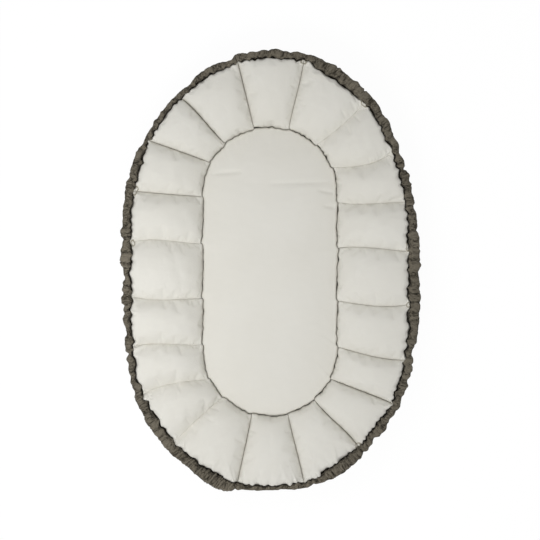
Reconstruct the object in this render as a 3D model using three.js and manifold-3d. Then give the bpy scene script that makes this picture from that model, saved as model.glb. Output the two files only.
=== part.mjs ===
// Infant lounger: a loose oval mattress inside a ring of twenty padded wall cushions, wrapped in a
// dark outer cover that is gathered on an elastic round the rim.
//
// Millimetres, +Z up. The origin is on the floor under the middle of the lounger, +Y points to the
// head end, and the seams are counted anticlockwise from the left one of the two at the head.
import * as THREE from "three";
import Module from "manifold-3d";

const wasm = await Module();
wasm.setup();

// Loose mattress
const MATTRESS_LENGTH = 600;
const MATTRESS_WIDTH = 280;
const MATTRESS_EDGE_HEIGHT = 26;
const MATTRESS_CROWN = 11;
const MATTRESS_TOWARDS_FOOT = 3;
const MATTRESS_SKIN = 2;

// How far the wall reaches from the mattress to the seam where the cushions meet the dark rim
const END_WALL_REACH = 134;
const SIDE_WALL_REACH = 146.5;

// Heights above the floor
const RIM_SEAM_HEIGHT = 76;
const BED_EDGE_HEIGHT = 34;

// Rise of a cushion over the straight line from bed to rim: along its seams, and what its middle adds
const SEAM_ARCH = 12;
const CUSHION_CROWN = 26;

// Flat panels and the outer cover's cloth
const BASE_THICKNESS = 3;
const LINING_THICKNESS = 2;
const COVER_THICKNESS = 2;

// Gathered rim: the widest ruffle seen from above, the casing's height, and the foot's narrow casing
const RUFFLE_WIDTH = 26;
const CASING_HEIGHT = 24;
const FOOT_CASING_WIDTH = 11;
const RIPPLE_DEPTH = 2.4;

// Flat elastic inside the casings
const ELASTIC_WIDTH = 8;
const ELASTIC_THICKNESS = 1.2;

// Clearances: resting faces, neighbouring cushions, round the mattress, behind the side cover, round
// the elastic, and round the zip's tape
const REST_GAP = 0.3;
const SEAM_GAP = 0.3;
const BED_CLEARANCE = 1;
const COVER_CLEARANCE = 0.4;
const ELASTIC_CLEARANCE = 0.4;
const GROOVE_CLEARANCE = 1;

// Zip across the mattress cover's underside, near the foot
const ZIP_FROM_SIDE = 35;
const ZIP_TAPE_WIDTH = 26;
const ZIP_TAPE_THICKNESS = 0.9;
const ZIP_TAPE_PAST_SLOT = 7;
const ZIP_FROM_FOOT = 95;
const ZIP_SLOT_WIDTH = 14;
const COIL_WIDTH = 5;
const COIL_HEIGHT = 1.2;
const COIL_NECK_WIDTH = 3;
const SLIDER_LENGTH = 13;
const SLIDER_WIDTH = 10;
const SLIDER_LIP = 0.6;
const SLIDER_FROM_END = 4;

// How far a cutting solid runs past the face that it cuts
const OVERRUN = 5;

// The wall's twenty seams: where each meets the rim, as shares of the wall's half width and half
// length, and where it meets the bed, as a share of the way round the bed from the head.
const SEAM_SHARES = [
  { rim: [-0.227, 0.972], bed: 0.022 },
  { rim: [-0.634, 0.811], bed: 0.067 },
  { rim: [-0.862, 0.609], bed: 0.1 },
  { rim: [-0.957, 0.371], bed: 0.148 },
  { rim: [-0.993, 0.128], bed: 0.212 },
  { rim: [-0.991, -0.125], bed: 0.287 },
  { rim: [-0.975, -0.359], bed: 0.35 },
  { rim: [-0.903, -0.583], bed: 0.398 },
  { rim: [-0.672, -0.803], bed: 0.429 },
  { rim: [-0.227, -0.988], bed: 0.475 },
  { rim: [0.241, -0.995], bed: 0.525 },
  { rim: [0.616, -0.819], bed: 0.566 },
  { rim: [0.864, -0.625], bed: 0.602 },
  { rim: [0.957, -0.423], bed: 0.647 },
  { rim: [0.993, -0.162], bed: 0.71 },
  { rim: [0.996, 0.086], bed: 0.782 },
  { rim: [0.97, 0.319], bed: 0.844 },
  { rim: [0.873, 0.553], bed: 0.893 },
  { rim: [0.668, 0.781], bed: 0.93 },
  { rim: [0.238, 0.979], bed: 0.974 },
];

// The ruffle's width as shares of the widest, at each seam and at the middle of the cushion after it
const RUFFLE_SHARES = [
  0.68, 0.72, 0.4, 0.36, 0.42, 0.69, 0.8, 0.72, 0.78, 0.74, 0.8, 0.66, 0.54, 0.56, 0.62, 0.77, 0.72,
  0.92, 0.82, 0.42, 0.45, 0.92, 0.85, 0.77, 0.58, 0.73, 0.69, 0.69, 0.75, 0.74, 0.73, 0.69, 0.69, 0.77,
  0.66, 0.8, 0.77, 0.85, 0.66, 0.66,
];

// The foot's narrow casing: the seam it starts at, and how far past the next one it runs, in cushions
const FOOT_SEAM_INDEX = 9;
const FOOT_PAST_SHARE = 0.12;

// The wall's cross-section, as shares: places along the cushion's face from bed to rim, heights of
// the back's corners, and how much of the wall's reach stands on the base
const FACE_SHARES = [0, 0.05, 0.16, 0.33, 0.52, 0.7, 0.85, 0.95, 1];
const BACK_SHARES = [1, 0.65, 0.3, 0];
const BASE_SHARE = 0.8;
const BACK_ROUNDNESS = 2.2;
const CROWN_ROUNDNESS = 0.7;
const CROWN_END_SQUARENESS = 4;

// Places across a cushion from seam to seam
const ACROSS_SHARES = [0, 0.08, 0.26, 0.5, 0.74, 0.92, 1];

// The casing's cross-section from the seam that carries it, as shares of its width and height
const CASING_SHARES = [
  [0, 0],
  [0.7, 0],
  [1, 0.3],
  [1, 0.7],
  [0.65, 1],
  [0.05, 0.8],
];

// Gathers round the rim, and how far the side cover bellies out and ripples below it
const RINGS_PER_CUSHION = 7;
const FOOT_RINGS = 24;
const RINGS_PER_BORE_STEP = 2;
const COVER_TOP_SHARE = 0.4;
const BELLY_SHARES = [0.55, 0.25];
const BELLY_RIPPLE_SHARES = [0.8, 0.4];

// The mattress's cross-section: how far in each corner lies, and how high, as shares of the half
// width, of the edge's height and of the crown
const PAD_CORNERS = [
  { inShare: 0.04, edgeShare: 0, crownShare: 0 },
  { inShare: 0, edgeShare: 0.3, crownShare: 0 },
  { inShare: 0, edgeShare: 0.75, crownShare: 0 },
  { inShare: 0.04, edgeShare: 1, crownShare: 0 },
  { inShare: 0.16, edgeShare: 1, crownShare: 0.4 },
  { inShare: 0.42, edgeShare: 1, crownShare: 0.8 },
  { inShare: 0.9, edgeShare: 1, crownShare: 1 },
];
const PAD_END_STEPS = 12;
const PAD_SIDE_STEPS = 4;

const SEAMS = SEAM_SHARES.length;
const BASE_TOP = BASE_THICKNESS;
const LINING_BOTTOM = BASE_TOP + REST_GAP;
const MATTRESS_BOTTOM = LINING_BOTTOM + LINING_THICKNESS + REST_GAP;
const CUSHION_BOTTOM = BASE_TOP + REST_GAP;
const ELASTIC_HEIGHT = RIM_SEAM_HEIGHT + CASING_HEIGHT / 2;

const CREAM = new THREE.MeshStandardMaterial({ color: 0xdcdad1, roughness: 0.9, metalness: 0 });
const OLIVE_GREY = new THREE.MeshStandardMaterial({ color: 0x5c574b, roughness: 0.95, metalness: 0 });
const ELASTIC_DARK = new THREE.MeshStandardMaterial({ color: 0x2b2924, roughness: 0.8, metalness: 0 });
const FOAM = new THREE.MeshStandardMaterial({ color: 0xece4c8, roughness: 1, metalness: 0 });
const ZIP_WHITE = new THREE.MeshStandardMaterial({ color: 0xd9d7cf, roughness: 0.5, metalness: 0 });

const lounger = new THREE.Group();
const mattress = new THREE.Group();
mattress.position.set(0, -MATTRESS_TOWARDS_FOOT, MATTRESS_BOTTOM);
lounger.add(mattress);

function addPiece(group, name, geometry, material) {
  const mesh = new THREE.Mesh(geometry, material);
  mesh.name = name;
  group.add(mesh);
  return mesh;
}

// The plan: places round the wall are counted in cushions, so seam 3 is at 3 and the middle of the
// cushion after it at 3.5.

function wrapped(i, count) {
  return ((i % count) + count) % count;
}

const wallHalfWidth = MATTRESS_WIDTH / 2 + SIDE_WALL_REACH;
const wallHalfLength = MATTRESS_LENGTH / 2 + END_WALL_REACH;
const rimCurve = new THREE.CatmullRomCurve3(
  SEAM_SHARES.map(
    ({ rim: [across, along] }) => new THREE.Vector3(across * wallHalfWidth, along * wallHalfLength, 0),
  ),
  true,
  "centripetal",
);

const bedRadius = MATTRESS_WIDTH / 2 + BED_CLEARANCE;
const bedCapCentre = (MATTRESS_LENGTH - MATTRESS_WIDTH) / 2;

// The wall's inner edge round the mattress, anticlockwise from the head
const bedPath = new THREE.Path();
bedPath.moveTo(0, bedCapCentre + bedRadius);
bedPath.absarc(0, bedCapCentre, bedRadius, Math.PI / 2, Math.PI);
bedPath.absarc(0, -bedCapCentre, bedRadius, Math.PI, Math.PI * 2);
bedPath.absarc(0, bedCapCentre, bedRadius, 0, Math.PI / 2);

function rimPoint(place) {
  return rimCurve.getPoint(wrapped(place, SEAMS) / SEAMS);
}

// The level direction that points away from the lounger, square to the rim
function rimOutward(place) {
  const along = rimCurve.getTangent(wrapped(place, SEAMS) / SEAMS);
  return new THREE.Vector3(along.y, -along.x, 0).normalize();
}

function bedPoint(place) {
  const seam = Math.floor(place);
  const from = SEAM_SHARES[wrapped(seam, SEAMS)].bed;
  const next = SEAM_SHARES[wrapped(seam + 1, SEAMS)].bed;
  const to = next < from ? next + 1 : next;
  const share = wrapped(THREE.MathUtils.lerp(from, to, place - seam), 1);
  const { x, y } = bedPath.getPoint(share);
  return new THREE.Vector3(x, y - MATTRESS_TOWARDS_FOOT, 0);
}

// A point of the wall: a place round it, a share of the way from bed to rim, and a height
function wallPoint(place, share, height) {
  return bedPoint(place).lerp(rimPoint(place), share).setZ(height);
}

// Full ruffle width at a place, blended between the listed shares
function ruffleWidth(place) {
  const halfSteps = place * 2;
  const step = Math.floor(halfSteps);
  const from = RUFFLE_SHARES[wrapped(step, RUFFLE_SHARES.length)];
  const to = RUFFLE_SHARES[wrapped(step + 1, RUFFLE_SHARES.length)];
  return RUFFLE_WIDTH * THREE.MathUtils.lerp(from, to, halfSteps - step);
}

// How far along the line from bed to rim the wall's back lies at a share of the rim's height
function backShareAt(heightShare) {
  return 1 - (1 - BASE_SHARE) * (1 - heightShare) ** BACK_ROUNDNESS;
}

// Solids skinned over loops of points

function areaOf(points) {
  return THREE.ShapeUtils.area(points);
}

// Triangles that close a flat loop, turning the way the loop runs
function capTriangles(loop) {
  const normal = new THREE.Vector3();
  loop.forEach((p, i) => normal.add(p.clone().cross(loop[(i + 1) % loop.length])));
  normal.normalize();
  const side = Math.abs(normal.z) > Math.SQRT1_2 ? new THREE.Vector3(1, 0, 0) : new THREE.Vector3(0, 0, 1);
  const u = side.cross(normal).normalize();
  const v = normal.clone().cross(u);
  const flat = loop.map((p) => new THREE.Vector2(p.dot(u), p.dot(v)));
  const turn = Math.sign(areaOf(flat));
  return THREE.ShapeUtils.triangulateShape(flat, []).map(([a, b, c]) =>
    Math.sign(areaOf([flat[a], flat[b], flat[c]])) === turn ? [a, b, c] : [a, c, b],
  );
}

// A closed solid over loops with equally many points. A ring's last loop joins its first one.
function loft(loops, isRing = false) {
  const count = loops[0].length;
  const spans = isRing ? loops.length : loops.length - 1;
  const vertex = (i, j) => (i % loops.length) * count + (j % count);
  const triangles = [];
  for (let i = 0; i < spans; i++)
    for (let j = 0; j < count; j++) {
      triangles.push([vertex(i, j), vertex(i + 1, j), vertex(i + 1, j + 1)]);
      triangles.push([vertex(i, j), vertex(i + 1, j + 1), vertex(i, j + 1)]);
    }
  if (!isRing) {
    const last = loops.length - 1;
    capTriangles(loops[0]).forEach(([a, b, c]) => triangles.push([vertex(0, a), vertex(0, b), vertex(0, c)]));
    capTriangles(loops[last]).forEach(([a, b, c]) =>
      triangles.push([vertex(last, a), vertex(last, c), vertex(last, b)]),
    );
  }
  const points = loops.flat();
  const volume = triangles.reduce(
    (sum, [a, b, c]) => sum + points[a].dot(points[b].clone().cross(points[c])),
    0,
  );
  const outwards = volume > 0 ? triangles : triangles.map(([a, b, c]) => [a, c, b]);
  return new THREE.BufferGeometry().setFromPoints(points).setIndex(outwards.flat());
}

function toSolid(geometry) {
  return new wasm.Manifold(
    new wasm.Mesh({
      numProp: 3,
      vertProperties: new Float32Array(geometry.getAttribute("position").array),
      triVerts: new Uint32Array(geometry.index.array),
    }),
  );
}

function toGeometry(solid) {
  const { vertProperties, triVerts } = solid.getMesh();
  return new THREE.BufferGeometry()
    .setAttribute("position", new THREE.BufferAttribute(vertProperties, 3))
    .setIndex(new THREE.BufferAttribute(triVerts, 1));
}

// A box between two corners, as a solid
function boxBetween([x0, y0, z0], [x1, y1, z1]) {
  const corners = [
    [x0, y0],
    [x1, y0],
    [x1, y1],
    [x0, y1],
  ];
  return toSolid(loft([z0, z1].map((z) => corners.map(([x, y]) => new THREE.Vector3(x, y, z)))));
}

// Wall cushions

// Height of a cushion's face at a share of the way from bed to rim. Fullness is 0 at a seam, 1 midway.
function faceHeight(share, fullness) {
  const straight = THREE.MathUtils.lerp(BED_EDGE_HEIGHT, RIM_SEAM_HEIGHT, share);
  const arch = Math.max(Math.sin(Math.PI * share), 0);
  const plumpness = Math.sqrt(1 - Math.abs(2 * share - 1) ** CROWN_END_SQUARENESS);
  return straight + SEAM_ARCH * arch + CUSHION_CROWN * fullness * plumpness;
}

// The cushion's outline in the upright plane at one place: up its face, down its back, along the base
function cushionLoop(place, fullness, aside) {
  const face = FACE_SHARES.map((share) => wallPoint(place, share, faceHeight(share, fullness)));
  const back = BACK_SHARES.slice(1, -1).map((level) =>
    wallPoint(place, backShareAt(level), level * RIM_SEAM_HEIGHT),
  );
  const foot = [wallPoint(place, BASE_SHARE, CUSHION_BOTTOM), wallPoint(place, 0, CUSHION_BOTTOM)];
  return [...face, ...back, ...foot].map((p) => p.add(aside));
}

// Half the seam gap, square to the seam's upright plane and towards the cushion after it
function seamAside(seam) {
  const along = rimPoint(seam).sub(bedPoint(seam)).normalize();
  return new THREE.Vector3(-along.y, along.x, 0).multiplyScalar(SEAM_GAP / 2);
}

function wallCushion(seam) {
  const loops = ACROSS_SHARES.map((across) => {
    const fullness = (1 - Math.abs(2 * across - 1) ** 2) ** CROWN_ROUNDNESS;
    const aside = new THREE.Vector3();
    if (across === 0) aside.copy(seamAside(seam));
    if (across === 1) aside.copy(seamAside(seam + 1)).negate();
    return cushionLoop(seam + across, fullness, aside);
  });
  return loft(loops);
}

for (let seam = 0; seam < SEAMS; seam++)
  addPiece(lounger, `wall_cushion_${String(seam + 1).padStart(2, "0")}`, wallCushion(seam), CREAM);

// Base panel and floor lining

function panelBetween(outline, bottom, top) {
  return loft([bottom, top].map((height) => outline.map((p) => p.clone().setZ(height))));
}

const baseOutline = Array.from({ length: SEAMS * RINGS_PER_CUSHION }, (_, i) =>
  wallPoint(i / RINGS_PER_CUSHION, BASE_SHARE, 0),
);
addPiece(lounger, "base_panel", panelBetween(baseOutline, 0, BASE_TOP), OLIVE_GREY);

// Points round a straight-sided outline with round ends, anticlockwise from its left side
function roundEndedLoop(radius, height) {
  const loop = [];
  for (const end of [-1, 1]) {
    for (let i = 0; i <= PAD_END_STEPS; i++) {
      const angle = (i / PAD_END_STEPS) * Math.PI;
      loop.push([end * radius * Math.cos(angle), end * (bedCapCentre + radius * Math.sin(angle))]);
    }
    for (let i = 1; i < PAD_SIDE_STEPS; i++)
      loop.push([-end * radius, end * bedCapCentre * (1 - (2 * i) / PAD_SIDE_STEPS)]);
  }
  return loop.map(([x, y]) => new THREE.Vector3(x, y, height));
}

const floorLining = addPiece(
  lounger,
  "floor_lining",
  panelBetween(roundEndedLoop(bedRadius - BED_CLEARANCE, 0), LINING_BOTTOM, LINING_BOTTOM + LINING_THICKNESS),
  OLIVE_GREY,
);
floorLining.position.y = -MATTRESS_TOWARDS_FOOT;

// Gathered rim

const footStart = FOOT_SEAM_INDEX;
const footEnd = FOOT_SEAM_INDEX + 1 + FOOT_PAST_SHARE;

// Every second ring of a gathered tube stands out, and the ones between are drawn in
function ripple(ring) {
  return ring % 2 === 0 ? 1 : -1;
}

function rippled(width, ring) {
  return width + (ripple(ring) * RIPPLE_DEPTH) / 2;
}

// The casing's outline in the upright plane square to the rim
function casingLoop(place, width, height) {
  const outward = rimOutward(place);
  return CASING_SHARES.map(([across, up]) =>
    rimPoint(place)
      .addScaledVector(outward, SEAM_GAP + across * (width - SEAM_GAP))
      .setZ(RIM_SEAM_HEIGHT + up * height),
  );
}

// The elastic runs in the middle of the casing's narrowest place
const narrowestCasing = Math.min(FOOT_CASING_WIDTH, RUFFLE_WIDTH * Math.min(...RUFFLE_SHARES));
const elasticFromSeam = (narrowestCasing - RIPPLE_DEPTH / 2 + SEAM_GAP) / 2;

// A four-cornered loop round the elastic's line, grown by a margin
function elasticLoop(place, margin) {
  const outward = rimOutward(place);
  const acrossHalf = ELASTIC_THICKNESS / 2 + margin;
  const upHalf = ELASTIC_WIDTH / 2 + margin;
  return [
    [-1, -1],
    [1, -1],
    [1, 1],
    [-1, 1],
  ].map(([across, up]) =>
    rimPoint(place)
      .addScaledVector(outward, elasticFromSeam + across * acrossHalf)
      .setZ(ELASTIC_HEIGHT + up * upHalf),
  );
}

// The elastic and its bore bend at the same places, so that they stay the same distance apart
const elasticPlaces = Array.from(
  { length: (SEAMS * RINGS_PER_CUSHION) / RINGS_PER_BORE_STEP },
  (_, i) => (i * RINGS_PER_BORE_STEP) / RINGS_PER_CUSHION,
);

function elasticRing(margin) {
  return loft(
    elasticPlaces.map((place) => elasticLoop(place, margin)),
    true,
  );
}

const elasticBore = toSolid(elasticRing(ELASTIC_CLEARANCE));

function casing(from, to, rings, widthAt) {
  const loops = Array.from({ length: rings + 1 }, (_, ring) => {
    const place = THREE.MathUtils.lerp(from, to, ring / rings);
    return casingLoop(place, rippled(widthAt(place), ring), rippled(CASING_HEIGHT, ring));
  });
  return toGeometry(toSolid(loft(loops)).subtract(elasticBore));
}

const gapInCushions = SEAM_GAP / rimPoint(footStart).distanceTo(rimPoint(footStart + 1));
const mainRings = Math.round((SEAMS - (footEnd - footStart)) * RINGS_PER_CUSHION);
addPiece(
  lounger,
  "rim_casing",
  casing(footEnd + gapInCushions, footStart + SEAMS - gapInCushions, mainRings, ruffleWidth),
  OLIVE_GREY,
);
addPiece(
  lounger,
  "foot_casing",
  casing(footStart, footEnd, FOOT_RINGS, () => FOOT_CASING_WIDTH),
  OLIVE_GREY,
);
addPiece(lounger, "rim_elastic", elasticRing(0), ELASTIC_DARK);

// Side cover: thin cloth from the hem at the base up to the casing, bellied out and gathered

function coverLoop(ring) {
  const place = ring / RINGS_PER_CUSHION;
  const outward = rimOutward(place);
  const width = ruffleWidth(place);
  const drawnIn = (RIPPLE_DEPTH * (1 - ripple(ring))) / 2;
  const hem = wallPoint(place, BASE_SHARE, BASE_TOP / 2).addScaledVector(outward, COVER_CLEARANCE);
  const top = rimPoint(place)
    .addScaledVector(outward, COVER_TOP_SHARE * Math.min(width, FOOT_CASING_WIDTH))
    .setZ(RIM_SEAM_HEIGHT - REST_GAP);
  const belly = BACK_SHARES.slice(1, -1).map((level, i) =>
    wallPoint(place, backShareAt(level), level * RIM_SEAM_HEIGHT).addScaledVector(
      outward,
      COVER_CLEARANCE + BELLY_SHARES[i] * width - BELLY_RIPPLE_SHARES[i] * drawnIn,
    ),
  );
  const inner = [top.addScaledVector(outward, -COVER_THICKNESS / 2), ...belly];
  const outer = inner.map((p) => p.clone().addScaledVector(outward, COVER_THICKNESS));
  return [hem, ...outer.reverse(), ...inner];
}

addPiece(
  lounger,
  "side_cover",
  loft(
    Array.from({ length: SEAMS * RINGS_PER_CUSHION }, (_, ring) => coverLoop(ring)),
    true,
  ),
  OLIVE_GREY,
);

// Mattress: a cover with a zip across its underside, and the foam core inside it. Its pieces are
// placed from the middle of its underside.

const zipY = ZIP_FROM_FOOT - MATTRESS_LENGTH / 2;
const zipLength = MATTRESS_WIDTH - 2 * ZIP_FROM_SIDE;
const tapeBottom = MATTRESS_SKIN + REST_GAP;
const coilBottom = tapeBottom - COIL_HEIGHT;
const channelFloor = coilBottom - REST_GAP;
const channelRoof = tapeBottom + REST_GAP;
const sliderTop = channelRoof + SLIDER_LIP;
const tapeRoof = sliderTop + REST_GAP;
const tapeTop = tapeRoof + ZIP_TAPE_THICKNESS;

// The pad's shape, drawn in by an inset all over
function padShape(inset) {
  const loops = PAD_CORNERS.map(({ inShare, edgeShare, crownShare }, i) => {
    const radius = (MATTRESS_WIDTH / 2 - inset) * (1 - inShare);
    const lift = i === 0 ? inset : edgeShare < 1 ? 0 : -inset;
    return roundEndedLoop(radius, MATTRESS_EDGE_HEIGHT * edgeShare + MATTRESS_CROWN * crownShare + lift);
  });
  return toSolid(loft(loops));
}

// A box across the underside, centred on the zip: its length along X, width along Y, and two heights
function zipBox(length, width, bottom, top) {
  return boxBetween([-length / 2, zipY - width / 2, bottom], [length / 2, zipY + width / 2, top]);
}

addPiece(
  mattress,
  "mattress_cover",
  toGeometry(
    padShape(0)
      .subtract(padShape(MATTRESS_SKIN))
      .subtract(zipBox(zipLength, ZIP_SLOT_WIDTH, -OVERRUN, tapeBottom + OVERRUN)),
  ),
  CREAM,
);

const tapeLength = zipLength + 2 * ZIP_TAPE_PAST_SLOT;
const grooveLength = tapeLength + 2 * GROOVE_CLEARANCE;
const grooveWidth = ZIP_TAPE_WIDTH + 2 * GROOVE_CLEARANCE;
addPiece(
  mattress,
  "mattress_core",
  toGeometry(
    padShape(MATTRESS_SKIN + REST_GAP).subtract(
      zipBox(grooveLength, grooveWidth, -OVERRUN, tapeTop + REST_GAP),
    ),
  ),
  FOAM,
);

const coilLength = zipLength - 2 * SLIDER_FROM_END;
addPiece(
  mattress,
  "zip_tape",
  toGeometry(
    zipBox(tapeLength, ZIP_TAPE_WIDTH, tapeBottom, tapeTop)
      .subtract(zipBox(zipLength, ZIP_SLOT_WIDTH, tapeBottom - OVERRUN, tapeRoof))
      .add(zipBox(coilLength, COIL_NECK_WIDTH, tapeBottom, tapeRoof))
      .add(zipBox(coilLength, COIL_WIDTH, coilBottom, tapeBottom)),
  ),
  ZIP_WHITE,
);

// The slider hooks round the coil, flush with the underside. It has no pull tab, as on infants' bedding.
const sliderEnd = coilLength / 2;

function sliderBox(width, bottom, top, past) {
  return boxBetween(
    [sliderEnd - SLIDER_LENGTH - past, zipY - width / 2, bottom],
    [sliderEnd + past, zipY + width / 2, top],
  );
}

addPiece(
  mattress,
  "zip_slider",
  toGeometry(
    sliderBox(SLIDER_WIDTH, 0, sliderTop, 0)
      .subtract(sliderBox(COIL_WIDTH + 2 * REST_GAP, channelFloor, channelRoof, OVERRUN))
      .subtract(sliderBox(COIL_NECK_WIDTH + 2 * REST_GAP, channelFloor, sliderTop + OVERRUN, OVERRUN)),
  ),
  ZIP_WHITE,
);

export default lounger;
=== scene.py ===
"""Infant lounger seen from straight above: a cream quilted wall round a cream mattress, in a dark
gathered cover. Metres, in the frame's own axes: +Z up and +Y to the head end.

Places round the wall are counted in cushions, anticlockwise from the left one of the two seams at
the head: seam 3 is at 3 and the middle of the cushion after it at 3.5.
"""

import math

import bmesh
import bpy
import numpy as np
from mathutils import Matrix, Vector

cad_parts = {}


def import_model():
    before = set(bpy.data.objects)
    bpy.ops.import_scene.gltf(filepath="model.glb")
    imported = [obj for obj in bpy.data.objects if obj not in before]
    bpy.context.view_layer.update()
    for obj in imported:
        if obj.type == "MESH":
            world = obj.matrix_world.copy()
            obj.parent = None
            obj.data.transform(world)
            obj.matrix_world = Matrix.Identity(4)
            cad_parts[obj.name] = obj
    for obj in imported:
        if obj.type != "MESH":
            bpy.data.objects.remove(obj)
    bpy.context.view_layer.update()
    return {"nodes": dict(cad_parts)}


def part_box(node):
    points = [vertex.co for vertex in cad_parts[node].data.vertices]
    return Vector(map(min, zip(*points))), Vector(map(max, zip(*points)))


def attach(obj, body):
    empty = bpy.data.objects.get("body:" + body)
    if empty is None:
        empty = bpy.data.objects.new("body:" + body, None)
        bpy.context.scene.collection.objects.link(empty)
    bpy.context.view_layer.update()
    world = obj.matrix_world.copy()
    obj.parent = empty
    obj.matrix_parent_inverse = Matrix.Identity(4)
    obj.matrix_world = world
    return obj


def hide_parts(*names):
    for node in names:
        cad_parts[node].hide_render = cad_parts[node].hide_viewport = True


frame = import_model()


def solid_box(node):
    """The lowest and the highest corner of a solid's box."""
    return [np.array(corner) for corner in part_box(node)]


# Real sizes, each from the solids that they belong to
MATTRESS_LOW, MATTRESS_HIGH = solid_box("mattress_cover")
LINING_LOW, LINING_HIGH = solid_box("floor_lining")
BASE_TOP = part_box("base_panel")[1].z
CASING_LOW, CASING_HIGH = solid_box("rim_casing")
ELASTIC_LOW, ELASTIC_HIGH = solid_box("rim_elastic")
CORE_LOW, CORE_HIGH = solid_box("mattress_core")
ZIP_LOW, ZIP_HIGH = solid_box("zip_tape")
MATTRESS_SIZE = MATTRESS_HIGH - MATTRESS_LOW
MATTRESS_CENTRE = (MATTRESS_LOW + MATTRESS_HIGH) / 2

# The wall: its reach past the mattress, the heights of its two edges and how far seams and
# cushions rise over the line between them
END_WALL_REACH = 0.134
SIDE_WALL_REACH = 0.1465
BED_EDGE_HEIGHT = 0.033
RIM_SEAM_HEIGHT = CASING_LOW[2]
SEAM_ARCH = 0.012
CUSHION_CROWN = 0.027
CUSHION_BOTTOM = BASE_TOP + 0.0003
SEAM_HALF_GAP = 0.0006

# The bed's edge: its gap to the mattress, the steps at the seams, the cushions' bulge and a waver
BED_CLEARANCE = 0.0004
BED_STEP = 0.0017
BED_BULGE = 0.0011
BED_WAVER = 0.00045
BED_LENGTH_PER_CUSHION = 0.06

# Shape of the wall's section, as shares of its reach and height, and its edge at the rim
BASE_SHARE = 0.8
BACK_ROUNDNESS = 2.2
RIM_WAVE_FADE = 8
RIM_RISE = 0.007
CORNER_RISE = 0.005
CORNER_FADE = 12
RIM_WAVER = 0.0011
CROWN_END_SQUARENESS = {"bed": 4.5, "rim": 7.5}

# A cushion's usual length and width, which turn shares of it into lengths
FACE_LENGTH = 0.15
FACE_WIDTH = 0.1

# Gathered rim and outer cover
RUFFLE_WIDTH = 0.026
FOOT_CASING_WIDTH = 0.011
CASING_HEIGHT = 0.0215
CASING_GAP = 0.0006
CLOTH_THICKNESS = 0.0009
COVER_THICKNESS = 0.0016
COVER_CLEARANCE = 0.0005
COVER_FOLD_RISE = 0.0052

# Where each seam meets the rim, as shares of the wall's half width and half length, and where it
# meets the bed, as a share of the way round it
RIM_SHARES = np.array(
    [
        (-0.227, 0.972), (-0.634, 0.811), (-0.862, 0.609), (-0.957, 0.371), (-0.993, 0.128),
        (-0.991, -0.125), (-0.975, -0.359), (-0.903, -0.583), (-0.672, -0.803), (-0.227, -0.988),
        (0.241, -0.995), (0.616, -0.819), (0.864, -0.625), (0.957, -0.423), (0.993, -0.162),
        (0.996, 0.086), (0.97, 0.319), (0.873, 0.553), (0.668, 0.781), (0.238, 0.979),
    ]
)  # fmt: skip
BED_SHARES = np.array(
    [
        0.022, 0.067, 0.1, 0.148, 0.212, 0.287, 0.35, 0.398, 0.429, 0.475, 0.525, 0.566, 0.602,
        0.647, 0.71, 0.782, 0.844, 0.893, 0.93, 0.974,
    ]
)  # fmt: skip

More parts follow.
